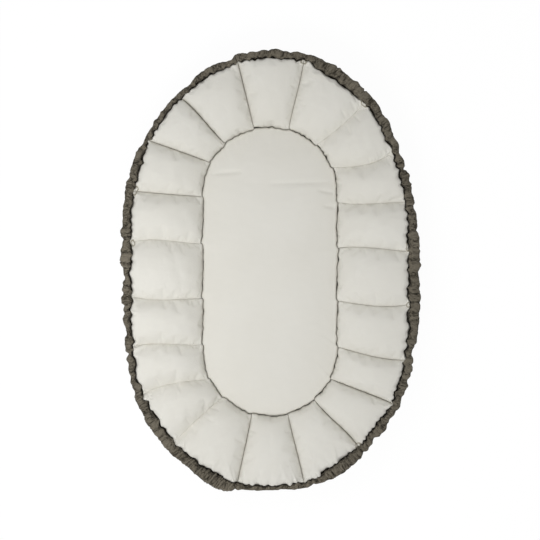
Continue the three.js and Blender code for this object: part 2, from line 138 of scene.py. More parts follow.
# The gathered band as seen from above, in hundredths: places round the rim, and there the band's
# outer and inner edge, as shares of the ruffle's width outside the smooth line through the seams' ends
BAND_EDGE_SHARES = np.array(
    [
        (0, 69, 4), (11, 38, 2), (25, 58, 0), (35, 62, -8), (43, 62, 0), (62, 61, 0), (70, 46, -4),
        (76, 31, -4), (92, 42, -4), (105, 38, -10), (116, 40, -4), (133, 31, -8), (143, 37, -10),
        (150, 29, -10), (164, 40, -10), (175, 29, -10), (192, 37, -8), (209, 31, -6), (224, 56, -6),
        (245, 67, -4), (267, 71, 0), (276, 67, 0), (288, 86, 11), (306, 84, 12), (325, 75, 8),
        (334, 79, 6), (350, 75, 10), (369, 73, -4), (377, 83, -4), (386, 83, 0), (393, 60, -4),
        (402, 63, 0), (415, 79, -17), (425, 73, -13), (434, 79, -13), (442, 71, -8), (448, 54, 2),
        (457, 52, 4), (466, 43, -4), (474, 62, -12), (480, 60, -6), (487, 69, -12), (493, 60, -10),
        (502, 79, -8), (512, 77, -17), (518, 52, -6), (526, 60, 8), (534, 54, -10), (545, 70, 0),
        (560, 48, 0), (575, 42, -2), (582, 62, -10), (590, 63, -17), (600, 60, 0), (607, 63, 2),
        (614, 42, 4), (624, 58, -4), (634, 50, -4), (646, 63, 0), (660, 56, 8), (670, 65, 8),
        (678, 60, 0), (688, 56, -12), (700, 71, 0), (708, 77, 10), (716, 75, -12), (728, 73, -4),
        (745, 85, -13), (760, 85, 0), (775, 81, -4), (788, 90, 6), (812, 102, 20), (822, 94, 12),
        (836, 96, 10), (846, 108, 20), (860, 119, 12), (875, 122, 14), (887, 117, 24),
        (895, 98, 22), (900, 84, 13), (910, 60, 14), (925, 49, 2), (950, 35, -4), (965, 29, -6),
        (985, 42, -4), (1000, 49, 6), (1012, 52, -2), (1030, 69, -6), (1042, 89, -4),
        (1060, 104, 2), (1080, 98, 12), (1092, 104, 20), (1100, 84, 24), (1108, 92, 24),
        (1118, 77, 16), (1130, 62, 2), (1139, 83, -4), (1145, 80, 4), (1151, 85, -8),
        (1165, 69, -6), (1173, 58, -4), (1188, 63, 4), (1200, 69, 14), (1208, 65, 0),
        (1220, 56, -10), (1228, 67, -12), (1235, 60, -10), (1247, 69, -8), (1260, 54, -6),
        (1270, 65, 4), (1281, 75, 4), (1293, 65, -6), (1303, 60, 10), (1315, 48, -8), (1327, 60, 2),
        (1337, 79, -4), (1345, 73, 0), (1356, 81, 4), (1385, 83, -13), (1398, 83, 6),
        (1410, 83, -12), (1423, 83, -20), (1430, 69, -15), (1440, 78, -8), (1460, 67, -12),
        (1472, 77, -12), (1490, 77, -15), (1502, 78, -6), (1525, 83, -15), (1535, 69, -17),
        (1542, 60, -13), (1558, 69, -4), (1565, 62, -4), (1574, 69, 0), (1587, 54, -12),
        (1602, 67, -10), (1620, 58, -6), (1630, 65, -6), (1638, 60, -8), (1650, 71, -15),
        (1658, 60, -4), (1663, 37, -4), (1669, 56, -4), (1680, 63, -12), (1693, 44, -4),
        (1710, 69, 4), (1725, 60, -12), (1745, 77, -2), (1765, 69, 0), (1785, 85, 4),
        (1803, 85, 10), (1812, 75, -2), (1822, 85, -6), (1836, 79, -15), (1850, 85, -10),
        (1868, 75, -15), (1878, 67, -10), (1892, 73, 13), (1900, 62, 12), (1910, 58, -6),
        (1922, 50, -4), (1935, 58, -8), (1945, 73, -4), (1953, 62, 0), (1961, 67, 2), (1970, 58, 2),
        (1985, 60, 4),
    ]
) / 100  # fmt: skip

# How crisp each seam's valley is: 1 is a narrow, deep line and 0 a wide, soft one
SEAM_CRISPNESS = np.array(
    [
        0.75, 1.0, 0.75, 0.55, 0.25, 0.35, 0.2, 0.1, 0.15, 0.7, 0.75, 0.9, 0.9, 0.6, 0.5, 0.45,
        0.3, 0.15, 0.15, 0.6,
    ]
)  # fmt: skip

# Where the cushions' corners stand up against the band and fill the groove: places round the rim
# and half lengths, counted in cushions
RIM_CORNERS = np.array(
    [
        (0.03, 0.08), (0.88, 0.05), (2.0, 0.06), (3.03, 0.07), (3.97, 0.05), (5.3, 0.03),
        (6.05, 0.06), (7.08, 0.06), (8.04, 0.08), (8.9, 0.07), (10.03, 0.05), (10.16, 0.03),
        (11.04, 0.09), (11.98, 0.08), (13.0, 0.05), (14.01, 0.05), (15.02, 0.05), (16.04, 0.02),
        (17.04, 0.06), (18.04, 0.06), (18.93, 0.07), (19.85, 0.06),
    ]
)  # fmt: skip

# Small loops of cloth that the stitching pulls up where seams meet the rim: the place round the
# rim, half the length along it, the distance in from it and half the width there
RIM_LOOPS = (
    (3.0, 0.009, 0.0025, 0.0035),
    (4.02, 0.0065, 0.004, 0.003),
    (11.0, 0.006, 0.003, 0.003),
    (14.0, 0.005, 0.003, 0.003),
    (15.09, 0.008, 0.002, 0.0028),
    (18.0, 0.006, 0.002, 0.003),
    (19.0, 0.005, 0.003, 0.003),
)

# How far each seam bows round the wall, anticlockwise, at a third and at two thirds of the way from
# bed to rim
SEAM_BOWS = 0.001 * np.array(
    [
        (0, 0), (0, -2), (0, 0), (1, 1), (-3, -7), (3, 5), (-2, -4.5), (-6, -8), (-2.5, -2),
        (0.5, 0), (-0.5, 0.5), (-1, 1.5), (0.5, 1), (-3.5, -5), (-5, -6.5), (4, 2.5), (-4, -2),
        (-10, -11), (-3.5, -3.5), (0, -1.5),
    ]
)  # fmt: skip

FOOT_START = 9.0
FOOT_END = 10.12
NOTCH_HALF = 0.0006
SEAMS = len(RIM_SHARES)

# Where spare cloth is gathered into a seam: all of it at 1
SEAM_SPARE_SHARES = np.full(SEAMS, 0.07)
SEAM_SPARE_SHARES[[6, 17]] = 0.75, 0.6

# Grid steps: across a cushion, up its face, down its back, and round the rim
ACROSS_STEPS = 88
FACE_STEPS = 128
BACK_STEPS = 12
RIM_STEPS = 2624

WALL_HALF = MATTRESS_SIZE[:2] / 2 + np.array([SIDE_WALL_REACH, END_WALL_REACH])
BED_RADIUS = MATTRESS_SIZE[0] / 2 + BED_CLEARANCE
BED_STRAIGHT_HALF = (MATTRESS_SIZE[1] - MATTRESS_SIZE[0]) / 2


# The plan


def rim_curve(place):
    """Points (x, y) of the rim's seam and its level outward direction at places round the wall.

    Between two seams the curve is a cubic through both. Its slope at a seam is the centripetal
    one: the differences to the seams on either side, weighed by the square roots of the distances.
    """
    points = RIM_SHARES * WALL_HALF
    seam = np.floor(place).astype(int)
    share = (place - seam)[..., None]
    p0, p1, p2, p3 = (points[(seam + step) % SEAMS] for step in (-1, 0, 1, 2))
    pairs = ((p0, p1), (p1, p2), (p2, p3))
    d0, d1, d2 = (np.sqrt(np.linalg.norm(b - a, axis=-1, keepdims=True)) for a, b in pairs)
    t1 = ((p1 - p0) / d0 - (p2 - p0) / (d0 + d1) + (p2 - p1) / d1) * d1
    t2 = ((p2 - p1) / d1 - (p3 - p1) / (d1 + d2) + (p3 - p2) / d2) * d1
    c2 = 3 * (p2 - p1) - 2 * t1 - t2
    c3 = 2 * (p1 - p2) + t1 + t2
    point = p1 + share * (t1 + share * (c2 + share * c3))
    along = t1 + share * (2 * c2 + 3 * share * c3)
    outward = np.stack([along[..., 1], -along[..., 0]], -1)
    return point, outward / np.linalg.norm(outward, axis=-1, keepdims=True)


def round_ended(share, radius, straight_half):
    """Points (x, y) at shares of the way round an outline with straight sides and round ends.

    The way starts at the head and runs anticlockwise: a quarter arc, a straight side, a half arc,
    a straight side and a quarter arc, each as long as it is.
    """
    quarter = np.pi / 2 * radius
    way = (share % 1) * (4 * quarter + 4 * straight_half)
    knots = np.cumsum([0, quarter, 2 * straight_half, 2 * quarter, 2 * straight_half, quarter])
    angle = np.interp(way, knots, np.array([0.5, 1, 1, 2, 2, 2.5]) * np.pi)
    centre = np.interp(way, knots, np.array([1, 1, -1, -1, 1, 1]) * straight_half)
    return np.stack([radius * np.cos(angle), centre + radius * np.sin(angle)], -1)


def bed_point(place):
    """Points (x, y) of the wall's inner edge, evenly spaced from each seam to the next."""
    seams = np.append(BED_SHARES, BED_SHARES[0] + 1)
    share = np.interp(place % SEAMS, np.arange(SEAMS + 1), seams)
    return round_ended(share, BED_RADIUS, BED_STRAIGHT_HALF) + MATTRESS_CENTRE[:2]


def band_edges(place):
    """How far the gathered band's outer and inner edge lie outside the smooth rim line at places
    round the rim: eased from each listed place to the next, and the inner edge wavers."""
    knots, outer, inner = BAND_EDGE_SHARES.T
    before = np.searchsorted(knots, place % SEAMS, side="right") - 1
    after = (before + 1) % len(knots)
    share = ((place - knots[before]) % SEAMS) / ((knots[after] - knots[before]) % SEAMS)
    ease = share * share * (3 - 2 * share)
    around = 2 * np.pi * place / SEAMS
    x, y = BED_RADIUS * 2 * np.cos(around), BED_RADIUS * 3 * np.sin(around)
    waver = RIM_WAVER * random_waves(x, y, 0.012, 24, 85)
    outer, inner = (e[before] * (1 - ease) + e[after] * ease for e in (outer, inner))
    return RUFFLE_WIDTH * outer, RUFFLE_WIDTH * inner + waver


def back_share(level):
    """How far from bed to rim the wall's back lies, at a share of the rim seam's height."""
    return 1 - (1 - BASE_SHARE) * (1 - level) ** BACK_ROUNDNESS


def corner_share(place):
    """How far the cushions' edge has risen at the rim: 1 at each listed corner, by a Gaussian."""
    apart = nearest_turn(place[..., None] - RIM_CORNERS[:, 0])
    return np.exp(-((apart / RIM_CORNERS[:, 1]) ** 2)).max(-1)


def nearest_turn(places):
    """Differences between places, by the shorter way round the wall."""
    return (places + SEAMS / 2) % SEAMS - SEAMS / 2


def rim_height(place):
    return RIM_SEAM_HEIGHT + RIM_RISE + CORNER_RISE * corner_share(place)


def seam_bow(place, share):
    """Shift round the wall of the points at a share from bed to rim: the cubic that is zero at both
    ends and passes the seam's two bows, and between two seams a mix of theirs."""
    seam = np.floor(place).astype(int)
    across = (place - seam)[..., None]
    bows = SEAM_BOWS[seam % SEAMS] * (1 - across) + SEAM_BOWS[(seam + 1) % SEAMS] * across
    lower, upper = bows[..., 0], bows[..., 1]
    return 13.5 * share * (1 - share) * (lower * (2 / 3 - share) + upper * (share - 1 / 3))


def raised(plan, height):
    """Points (x, y) with a height each."""
    return np.concatenate([plan, np.broadcast_to(height, plan.shape[:-1])[..., None]], -1)


def wall_points(place, share, height):
    """Points of the wall at each place, by share from bed to rim, at a height: on the straight line
    in plan, but for the seams' bows and the wavy rim, which fades away inwards."""
    rim, outward = rim_curve(place)
    _, wave = band_edges(place)
    bed = bed_point(place)
    bow = seam_bow(place + 0 * share, share)
    plan = bed + (rim - bed) * share[..., None]
    plan = plan + outward * (wave * share**RIM_WAVE_FADE)[..., None]
    plan = plan + np.stack([-outward[..., 1], outward[..., 0]], -1) * bow[..., None]
    return raised(plan, height)


# Surface detail


def random_waves(x, y, wavelength, count, seed):
    """A smooth random field of about unit size: a sum of sine waves of like length, each with a
    direction, a length and a phase drawn from the seed."""
    rng = np.random.default_rng(seed)
    heading = rng.uniform(0, 2 * np.pi, count)
    number = 2 * np.pi / (wavelength * rng.uniform(0.7, 1.5, count))
    phase = rng.uniform(0, 2 * np.pi, count)
    total = np.zeros(np.broadcast(x, y).shape)
    for h, k, p in zip(heading, number, phase):
        total += np.sin(k * (np.cos(h) * x + np.sin(h) * y) + p)
    return total * math.sqrt(2 / count)


def waves_along(way, wavelength, count, seed):
    """The same random field, read along one line of it."""
    return random_waves(way, 0 * way, wavelength, count, seed)


def puckers(along, away, length, count, reach, depth, width, seed):
    """Depth of small folds that run away from a sewn line.

    Each fold is a Gaussian across its width, at a random place along the line, leans a little, and
    fades exponentially with the distance from the line. The folds' depths are summed.
    """
    rng = np.random.default_rng(seed)
    total = np.zeros(np.broadcast(along, away).shape)
    for _ in range(count):
        place = rng.uniform(0, length)
        lean = rng.normal(0, 0.25)
        fold_width = width * rng.uniform(0.6, 1.5)
        fold_reach = reach * rng.uniform(0.5, 1.6)
        fold_depth = depth * rng.uniform(0.3, 1.2)
        across = (along - place - lean * away) / fold_width
        total += fold_depth * np.exp(-across * across - away / fold_reach)
    return total


def pleats(way, length, narrow, wide, seed, sharpness=0.6):
    """Height from 0 to 1 of gathered folds along a closed way.

    The way is cut into folds of random widths. Each is a half sine, raised to a power below one, so
    that rounded ridges meet in sharp creases, and has a random height of its own.
    """
    rng = np.random.default_rng(seed)
    widths = rng.uniform(narrow, wide, int(2 * length / (narrow + wide)))
    edges = running_sum(widths) * length / widths.sum()
    phase = np.interp(way % length, edges, np.arange(len(edges)))
    number = np.minimum(np.floor(phase).astype(int), len(widths) - 1)
    heights = rng.uniform(0.2, 1, len(widths))
    return np.sin(np.pi * (phase - number)).clip(0) ** sharpness * heights[number]


def near(distance, width):
    """A Gaussian of a distance: 1 at zero, and falling off over the width."""
    return np.exp(-((distance / width) ** 2))


def blunt(values, power):
    """Raises the sizes of values to a power, and keeps their signs."""
    return np.sign(values) * np.abs(values) ** power


def grid_normals(points):
    """Unit normals of a grid of points, from the differences along its rows and columns."""
    down = np.gradient(points, axis=0)
    along = np.gradient(points, axis=1)
    normal = np.cross(along, down)
    return normal / np.maximum(np.linalg.norm(normal, axis=-1, keepdims=True), 1e-12)


def running_sum(steps):
    return np.concatenate([[0], np.cumsum(steps)])


def rows_way(points):
    """Way down a grid's rows from the first, by the mean distances between them."""
    return running_sum(np.linalg.norm(np.diff(points, axis=0), axis=-1).mean(1))


def mean_length(points, axis):
    """Mean length of a grid's lines along one axis."""
    return np.linalg.norm(np.diff(points, axis=axis), axis=-1).sum(axis).mean()


# Meshes


def uv_grid(u, v):
    """Cloth coordinates (u, v) of a grid whose columns lie at u and whose rows lie at v."""
    return np.stack(np.meshgrid(u, v), -1)


def plan_uv(points):
    """Cloth coordinates as seen from above, of a grid whose columns are closed."""
    return np.concatenate([points[..., :2], points[:, :1, :2]], 1)


def ring_turns(steps):
    """Angles of a ring's points, one to a row."""
    return np.linspace(0, 2 * np.pi, steps, endpoint=False)[:, None]


class Skin:
    """Points and faces of one mesh, gathered patch by patch."""

    def __init__(self):
        self.points, self.faces, self.corner_uvs, self.count = [], [], [], 0

    def grid(self, points, uv, closed_rows=False, closed_columns=False):
        """Adds a grid of quads. A closed direction joins its last line of points to its first, and
        uv then has one line more there, so that the pattern doesn't run backwards."""
        rows, columns = points.shape[:2]
        i, j = np.meshgrid(
            np.arange(rows if closed_rows else rows - 1),
            np.arange(columns if closed_columns else columns - 1),
            indexing="ij",
        )
        steps = ((0, 0), (1, 0), (1, 1), (0, 1))
        corners = [(i + a) % rows * columns + (j + b) % columns for a, b in steps]
        self.faces += (np.stack(corners, -1).reshape(-1, 4) + self.count).tolist()
        uvs = [uv[i + a, j + b] for a, b in steps]
        self.corner_uvs.append(np.stack(uvs, 2).reshape(-1, 2))
        self.points.append(points.reshape(-1, 3))
        self.count += rows * columns

    def cap(self, numbers):
        """Adds one flat face over points that are already there."""
        self.faces.append(list(numbers))
        self.corner_uvs.append(np.concatenate(self.points)[list(numbers)][:, :2])

    def side_caps(self, rows, columns):
        """Closes the first and the last column of the grid that was added last."""
        numbers = self.count - rows * columns + np.arange(rows) * columns
        self.cap(numbers)
        self.cap((numbers + columns - 1)[::-1])

    def mesh(self, name, weld=False):
        mesh = bpy.data.meshes.new(name)
        mesh.from_pydata(np.concatenate(self.points).tolist(), [], self.faces)
        mesh.uv_layers.new(name="cloth")
        mesh.uv_layers["cloth"].data.foreach_set("uv", np.concatenate(self.corner_uvs).ravel())
        if weld:
            weld_points(mesh)
        turn_outwards(mesh)
        mesh.shade_smooth()
        return mesh


def weld_points(mesh):
    """Joins points that lie in one place, where a grid shrinks to a point or a line."""
    welded = bmesh.new()
    welded.from_mesh(mesh)
    bmesh.ops.remove_doubles(welded, verts=welded.verts, dist=1e-6)
    bmesh.ops.dissolve_degenerate(welded, edges=welded.edges, dist=1e-7)
    welded.to_mesh(mesh)
    welded.free()


def turn_outwards(mesh):
    """Flips all faces if the closed mesh's signed volume is negative."""
    mesh.calc_loop_triangles()
    points = np.zeros(len(mesh.vertices) * 3, np.float32)
    mesh.vertices.foreach_get("co", points)
    corners = np.zeros(len(mesh.loop_triangles) * 3, np.int32)
    mesh.loop_triangles.foreach_get("vertices", corners)
    a, b, c = points.reshape(-1, 3)[corners].reshape(-1, 3, 3).astype(float).transpose(1, 0, 2)
    if (a * np.cross(b, c)).sum() < 0:
        mesh.flip_normals()


def add_piece(mesh, material, body, slot, *nodes):
    """An object for a finished mesh, under the mesh's name."""
    piece = bpy.data.objects.new(mesh.name, mesh)
    bpy.context.scene.collection.objects.link(piece)
    mesh.materials.append(material)
    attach(piece, body)
    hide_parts(*nodes)
    return piece


def paint_crease_shade(mesh, crease):
    """Keeps painted shade for the mesh's first points, from 0 to 1, for the cloth's dark tone."""
    values = np.zeros(len(mesh.vertices), np.float32)
    values[: crease.size] = crease.ravel()
    mesh.attributes.new("crease", "FLOAT", "POINT").data.foreach_set("value", values)


# Materials


def new_group(name, inputs, outputs):
    group = bpy.data.node_groups.new(name, "ShaderNodeTree")
    for socket, kind, value in inputs:
        made = group.interface.new_socket(socket, in_out="INPUT", socket_type=kind)
        if value is not None:
            made.default_value = value
    for socket, kind in outputs:
        group.interface.new_socket(socket, in_out="OUTPUT", socket_type=kind)
    return group, group.nodes.new("NodeGroupInput"), group.nodes.new("NodeGroupOutput")


def feed(tree, socket, value):
    """Gives a socket a value of its own, or links another node's output to it."""
    if isinstance(value, bpy.types.NodeSocket):
        tree.links.new(value, socket)
    else:
        socket.default_value = value


def math_node(tree, operation, *operands):
    """The result of a Math node. Each operand is a number or another node's output."""
    node = tree.nodes.new("ShaderNodeMath")
    node.operation = operation
    for socket, value in zip(node.inputs, operands):
        feed(tree, socket, value)
    return node.outputs[0]


def noise(tree, place, scale, detail):
    node = tree.nodes.new("ShaderNodeTexNoise")
    feed(tree, node.inputs["Vector"], place)
    feed(tree, node.inputs["Scale"], scale)
    feed(tree, node.inputs["Detail"], detail)
    return node


def colour_mix(tree, first, second, factor):
    """The mix of two colours, each three numbers or another node's output."""
    mix = tree.nodes.new("ShaderNodeMix")
    mix.data_type = "RGBA"
    for name, colour in (("A", first), ("B", second)):
        feed(tree, mix.inputs[name], (*colour, 1) if isinstance(colour, tuple) else colour)
    feed(tree, mix.inputs["Factor"], factor)
    return mix.outputs["Result"]


def bump(tree, height, distance):
    node = tree.nodes.new("ShaderNodeBump")
    feed(tree, node.inputs["Distance"], distance)
    feed(tree, node.inputs["Height"], height)
    return node


def plain_weave():
    """Node group: height from 0 to 1 of threads that cross, the product of two sines of the cloth's
    own coordinates, one along each thread direction."""
    group, given, out = new_group(
        "plain weave",
        [("Cloth", "NodeSocketVector", None), ("Thread pitch", "NodeSocketFloat", 0.0005)],
        [("Height", "NodeSocketFloat")],
    )
    split = group.nodes.new("ShaderNodeSeparateXYZ")
    group.links.new(given.outputs["Cloth"], split.inputs[0])
    waves = []
    for axis in (0, 1):
        turns = math_node(group, "DIVIDE", split.outputs[axis], given.outputs["Thread pitch"])
        waves.append(math_node(group, "SINE", math_node(group, "MULTIPLY", turns, 2 * math.pi)))
    product = math_node(group, "MULTIPLY", *waves)
    group.links.new(math_node(group, "MULTIPLY_ADD", product, 0.5, 0.5), out.inputs["Height"])
    return group


def crinkle():
    """Node group: soft creases of washed cloth, noise stretched by another noise, and a slow
    unevenness of tone over the cloth."""
    group, given, out = new_group(
        "washed crinkle",
        [("Place", "NodeSocketVector", None), ("Creases per metre", "NodeSocketFloat", 60)],
        [("Height", "NodeSocketFloat"), ("Tone", "NodeSocketFloat")],
    )
    place = given.outputs["Place"]
    shift = group.nodes.new("ShaderNodeVectorMath")
    shift.operation = "MULTIPLY_ADD"
    feed(group, shift.inputs[0], noise(group, place, 18, 1).outputs["Color"])
    feed(group, shift.inputs[1], (0.03, 0.03, 0.03))
    feed(group, shift.inputs[2], place)
    creases = noise(group, shift.outputs[0], given.outputs["Creases per metre"], 4)
    creases.inputs["Roughness"].default_value = 0.62
    group.links.new(creases.outputs["Fac"], out.inputs["Height"])
    group.links.new(noise(group, place, 9, 2).outputs["Fac"], out.inputs["Tone"])
    return group


def placed_group(tree, group, **values):
    node = tree.nodes.new("ShaderNodeGroup")
    node.node_tree = group
    for name, value in values.items():
        feed(tree, node.inputs[name.replace("_", " ").capitalize()], value)
    return node


def new_material(name, **constants):
    """A material, its node tree and its shader with some inputs set."""
    material = bpy.data.materials.new(name)
    material.use_nodes = True
    shader = material.node_tree.nodes["Principled BSDF"]
    for socket, value in constants.items():
        shader.inputs[socket.replace("_", " ")].default_value = value
    return material, material.node_tree, shader


WEAVE = plain_weave()
CRINKLE = crinkle()
# Share of the weave's height in the cloth's tone: painted shade between the threads
WEAVE_HOLLOW_SHADE = 0.25
EVEN_TONE = 0.12


def cloth_material(name, light, dark, deep, thread_pitch, weave_height, creases, crease_height, crinkle_shade):
    """Woven cloth: its colour drifts between two tones and takes painted shade and light: darker
    between the threads, darker in the crinkles' hollows and lighter on their ridges by the crinkle
    shade, and going to a third, dark tone by the mesh's crease values, as painted shade in creases.
    Two bumps carry the weave and the crinkles."""
    material, tree, shader = new_material(
        name, Roughness=0.92, Specular_IOR_Level=0.12, Sheen_Weight=0.04, Sheen_Roughness=0.6
    )
    place = tree.nodes.new("ShaderNodeTexCoord")
    cloth = tree.nodes.new("ShaderNodeUVMap")
    cloth.uv_map = "cloth"
    weave = placed_group(tree, WEAVE, cloth=cloth.outputs["UV"], thread_pitch=thread_pitch)
    folds = placed_group(tree, CRINKLE, place=place.outputs["Object"], creases_per_metre=creases)
    # Painted shade: the colour darkens between the threads, where the weave lies low
    threads = math_node(tree, "MULTIPLY", weave.outputs["Height"], WEAVE_HOLLOW_SHADE)
    tone = math_node(tree, "ADD", folds.outputs["Tone"], threads)
    tone = math_node(tree, "SUBTRACT", tone, EVEN_TONE + crinkle_shade / 2)
    # Painted shade and light: the colour darkens in the crinkles' hollows and lightens on their ridges
    crinkle_shading = math_node(tree, "MULTIPLY", folds.outputs["Height"], crinkle_shade)
    tone = math_node(tree, "ADD", tone, crinkle_shading)
    tone.node.use_clamp = True
    # Painted shade: the colour goes to the dark tone by the mesh's crease values
    crease = tree.nodes.new("ShaderNodeAttribute")
    crease.attribute_name = "crease"
    colour = colour_mix(tree, colour_mix(tree, dark, light, tone), deep, crease.outputs["Fac"])
    tree.links.new(colour, shader.inputs["Base Color"])
    fine = bump(tree, weave.outputs["Height"], weave_height)
    coarse = bump(tree, folds.outputs["Height"], crease_height)
    tree.links.new(fine.outputs["Normal"], coarse.inputs["Normal"])
    tree.links.new(coarse.outputs["Normal"], shader.inputs["Normal"])
    return material


def plain_material(name, colour, roughness, grain, grain_height):
    """Plastic, foam or elastic: one colour with a fine grain in colour and bump."""
    material, tree, shader = new_material(name, Roughness=roughness)
    place = tree.nodes.new("ShaderNodeTexCoord")
    grains = noise(tree, place.outputs["Object"], grain, 2).outputs["Fac"]
    mixed = colour_mix(tree, tuple(0.85 * c for c in colour), colour, grains)
    tree.links.new(mixed, shader.inputs["Base Color"])
    tree.links.new(bump(tree, grains, grain_height).outputs["Normal"], shader.inputs["Normal"])
    return material


# deep is the tone of painted shade beside the crevice, at the rim, round the loops and in crisp seams
CREAM = cloth_material(
    "cream cotton",
    light=(0.755, 0.742, 0.69),
    dark=(0.715, 0.697, 0.635),
    deep=(0.26, 0.235, 0.175),
    thread_pitch=0.0005,
    weave_height=0.00003,
    creases=70,
    crease_height=0.0004,
    crinkle_shade=0.2,
)
# deep, almost black, is the tone of painted shade in the band's hollows, crease lines and groove and in
# the cover's folds
OLIVE = cloth_material(
    "olive washed cotton",
    light=(0.225, 0.2, 0.155),
    dark=(0.115, 0.101, 0.076),
    deep=(0.02, 0.017, 0.011),
    thread_pitch=0.0007,
    weave_height=0.00008,
    creases=230,
    crease_height=0.0016,
    crinkle_shade=0.9,
)
# deep would be the tone of painted shade in creases, but the tapes keep no crease values
TAPE = cloth_material(
    "zip tape weave",
    light=(0.72, 0.71, 0.65),
    dark=(0.66, 0.645, 0.585),
    deep=(0.5, 0.46, 0.34),
    thread_pitch=0.0009,
    weave_height=0.00006,
    creases=300,
    crease_height=0.0001,
    crinkle_shade=0.3,
)
ELASTIC = plain_material("dark woven elastic", (0.03, 0.028, 0.022), 0.8, 900, 0.0003)
FOAM = plain_material("cream foam", (0.84, 0.78, 0.58), 1.0, 1200, 0.0006)
ZIP = plain_material("off-white nylon", (0.7, 0.69, 0.62), 0.45, 400, 0.00005)


# Wall cushions

CLOTH_ACROSS = 28
CLOTH_EASE = 0.07
CLOTH_ROWS = 58
CLOTH_FRAMES = 20
CLOTH_SETTINGS = {
    "vertex_group_mass": "sewn",
    "vertex_group_shrink": "spare cloth",
    "shrink_min": -0.01,
    "shrink_max": -0.1,
    "use_pressure": True,
    "uniform_pressure_force": 8,
    "mass": 0.1,
    "quality": 5,
    "tension_stiffness": 15,
    "compression_stiffness": 15,
    "shear_stiffness": 2,
    "bending_stiffness": 4,
}
LARGEST_MOVE = 0.01
START_SWELL = 0.85
START_UNEVENNESS = 0.0003
SEAM_SPARE_REACH = 0.016
RIM_SPARE_REACH = 0.012
LOOP_CREASE_WIDTH = 0.0008
LOOP_CREASE_DEPTH = 0.0009
SEWN_EDGE = 0.003


def face_height(share, fullness, corner):
    """Height of a cushion's face: the straight line from bed edge to rim seam, a half sine on top
    of it, and the cushion's own crown, level along its middle and rounded off at both ends."""
    straight = BED_EDGE_HEIGHT + (RIM_SEAM_HEIGHT - BED_EDGE_HEIGHT) * share
    straight = straight + (RIM_RISE + CORNER_RISE * corner) * share**CORNER_FADE
    arch = np.sin(np.pi * share).clip(0)
    squareness = np.where(share < 0.5, CROWN_END_SQUARENESS["bed"], CROWN_END_SQUARENESS["rim"])
    plumpness = np.sqrt((1 - np.abs(2 * share - 1) ** squareness).clip(0))
    return straight + SEAM_ARCH * arch + CUSHION_CROWN * fullness * plumpness


def eased(count, amount=0.11):
    """Shares from 0 to 1, closer together towards both ends."""
    t = np.linspace(0, 1, count + 1)
    return t - amount * np.sin(2 * np.pi * t)


def face_points(seam, across, share, swell):
    """The cushion's upper skin at shares across from its seam and up from the bed. Its fullness
    falls to nothing at both seams, steeply at a crisp one and gently at a soft one."""
    crisp = SEAM_CRISPNESS[seam] * (1 - across) + SEAM_CRISPNESS[(seam + 1) % SEAMS] * across
    fullness = (1 - np.abs(2 * across - 1) ** (2 + 0.6 * crisp)) ** (0.95 - 0.42 * crisp)
    height = face_height(share, swell * fullness, corner_share(seam + across))
    return wall_points(seam + across, share, height)


def spare_cloth(places, share, width):
    """How much longer than its place the cloth is cut, from 0 to 1: more beside the seams, by their
    spare shares, and along the rim, most of all round the foot."""
    spare = np.zeros(share.shape)
    for seam in range(SEAMS):
        gap = np.abs(nearest_turn(places - seam)) * width
        spare += SEAM_SPARE_SHARES[seam] * np.exp(-gap / SEAM_SPARE_REACH)
    foot = near(places - 9.6, 1.6)
    spare += (0.1 + 0.6 * foot) * np.exp(-(1 - share) * FACE_LENGTH / RIM_SPARE_REACH)
    return spare.clip(0, 1)


def blown_up(points, sewn, spare):
    """The skins' points after the cloth simulation, sewn fast at some of them."""
    rows, columns = points.shape[:2]
    skin = Skin()
    skin.grid(points, np.zeros((rows, columns + 1, 2)), closed_columns=True)
    mesh = bpy.data.meshes.new("settling")
    mesh.from_pydata(points.reshape(-1, 3).tolist(), [], skin.faces)
    sheet = bpy.data.objects.new("settling", mesh)
    bpy.context.scene.collection.objects.link(sheet)
    sheet.vertex_groups.new(name="sewn").add(np.flatnonzero(sewn).tolist(), 1, "REPLACE")
    level = np.round(10 * spare).astype(int).ravel()
    group = sheet.vertex_groups.new(name="spare cloth")
    for tenth in range(1, 11):
        group.add(np.flatnonzero(level == tenth).tolist(), tenth / 10, "REPLACE")
    modifier = sheet.modifiers.new("cloth", "CLOTH")
    for name, value in CLOTH_SETTINGS.items():
        setattr(modifier.settings, name, value)
    modifier.settings.effector_weights.gravity = 0
    modifier.collision_settings.use_collision = False
    modifier.point_cache.frame_end = CLOTH_FRAMES
    for moment in range(1, CLOTH_FRAMES + 1):
        bpy.context.scene.frame_set(moment)
    settled = np.zeros(rows * columns * 3, np.float32)
    shown = sheet.evaluated_get(bpy.context.evaluated_depsgraph_get())
    shown.data.vertices.foreach_get("co", settled)
    bpy.context.scene.frame_set(1)
    bpy.data.objects.remove(sheet)
    bpy.data.meshes.remove(mesh)
    return settled.reshape(points.shape)


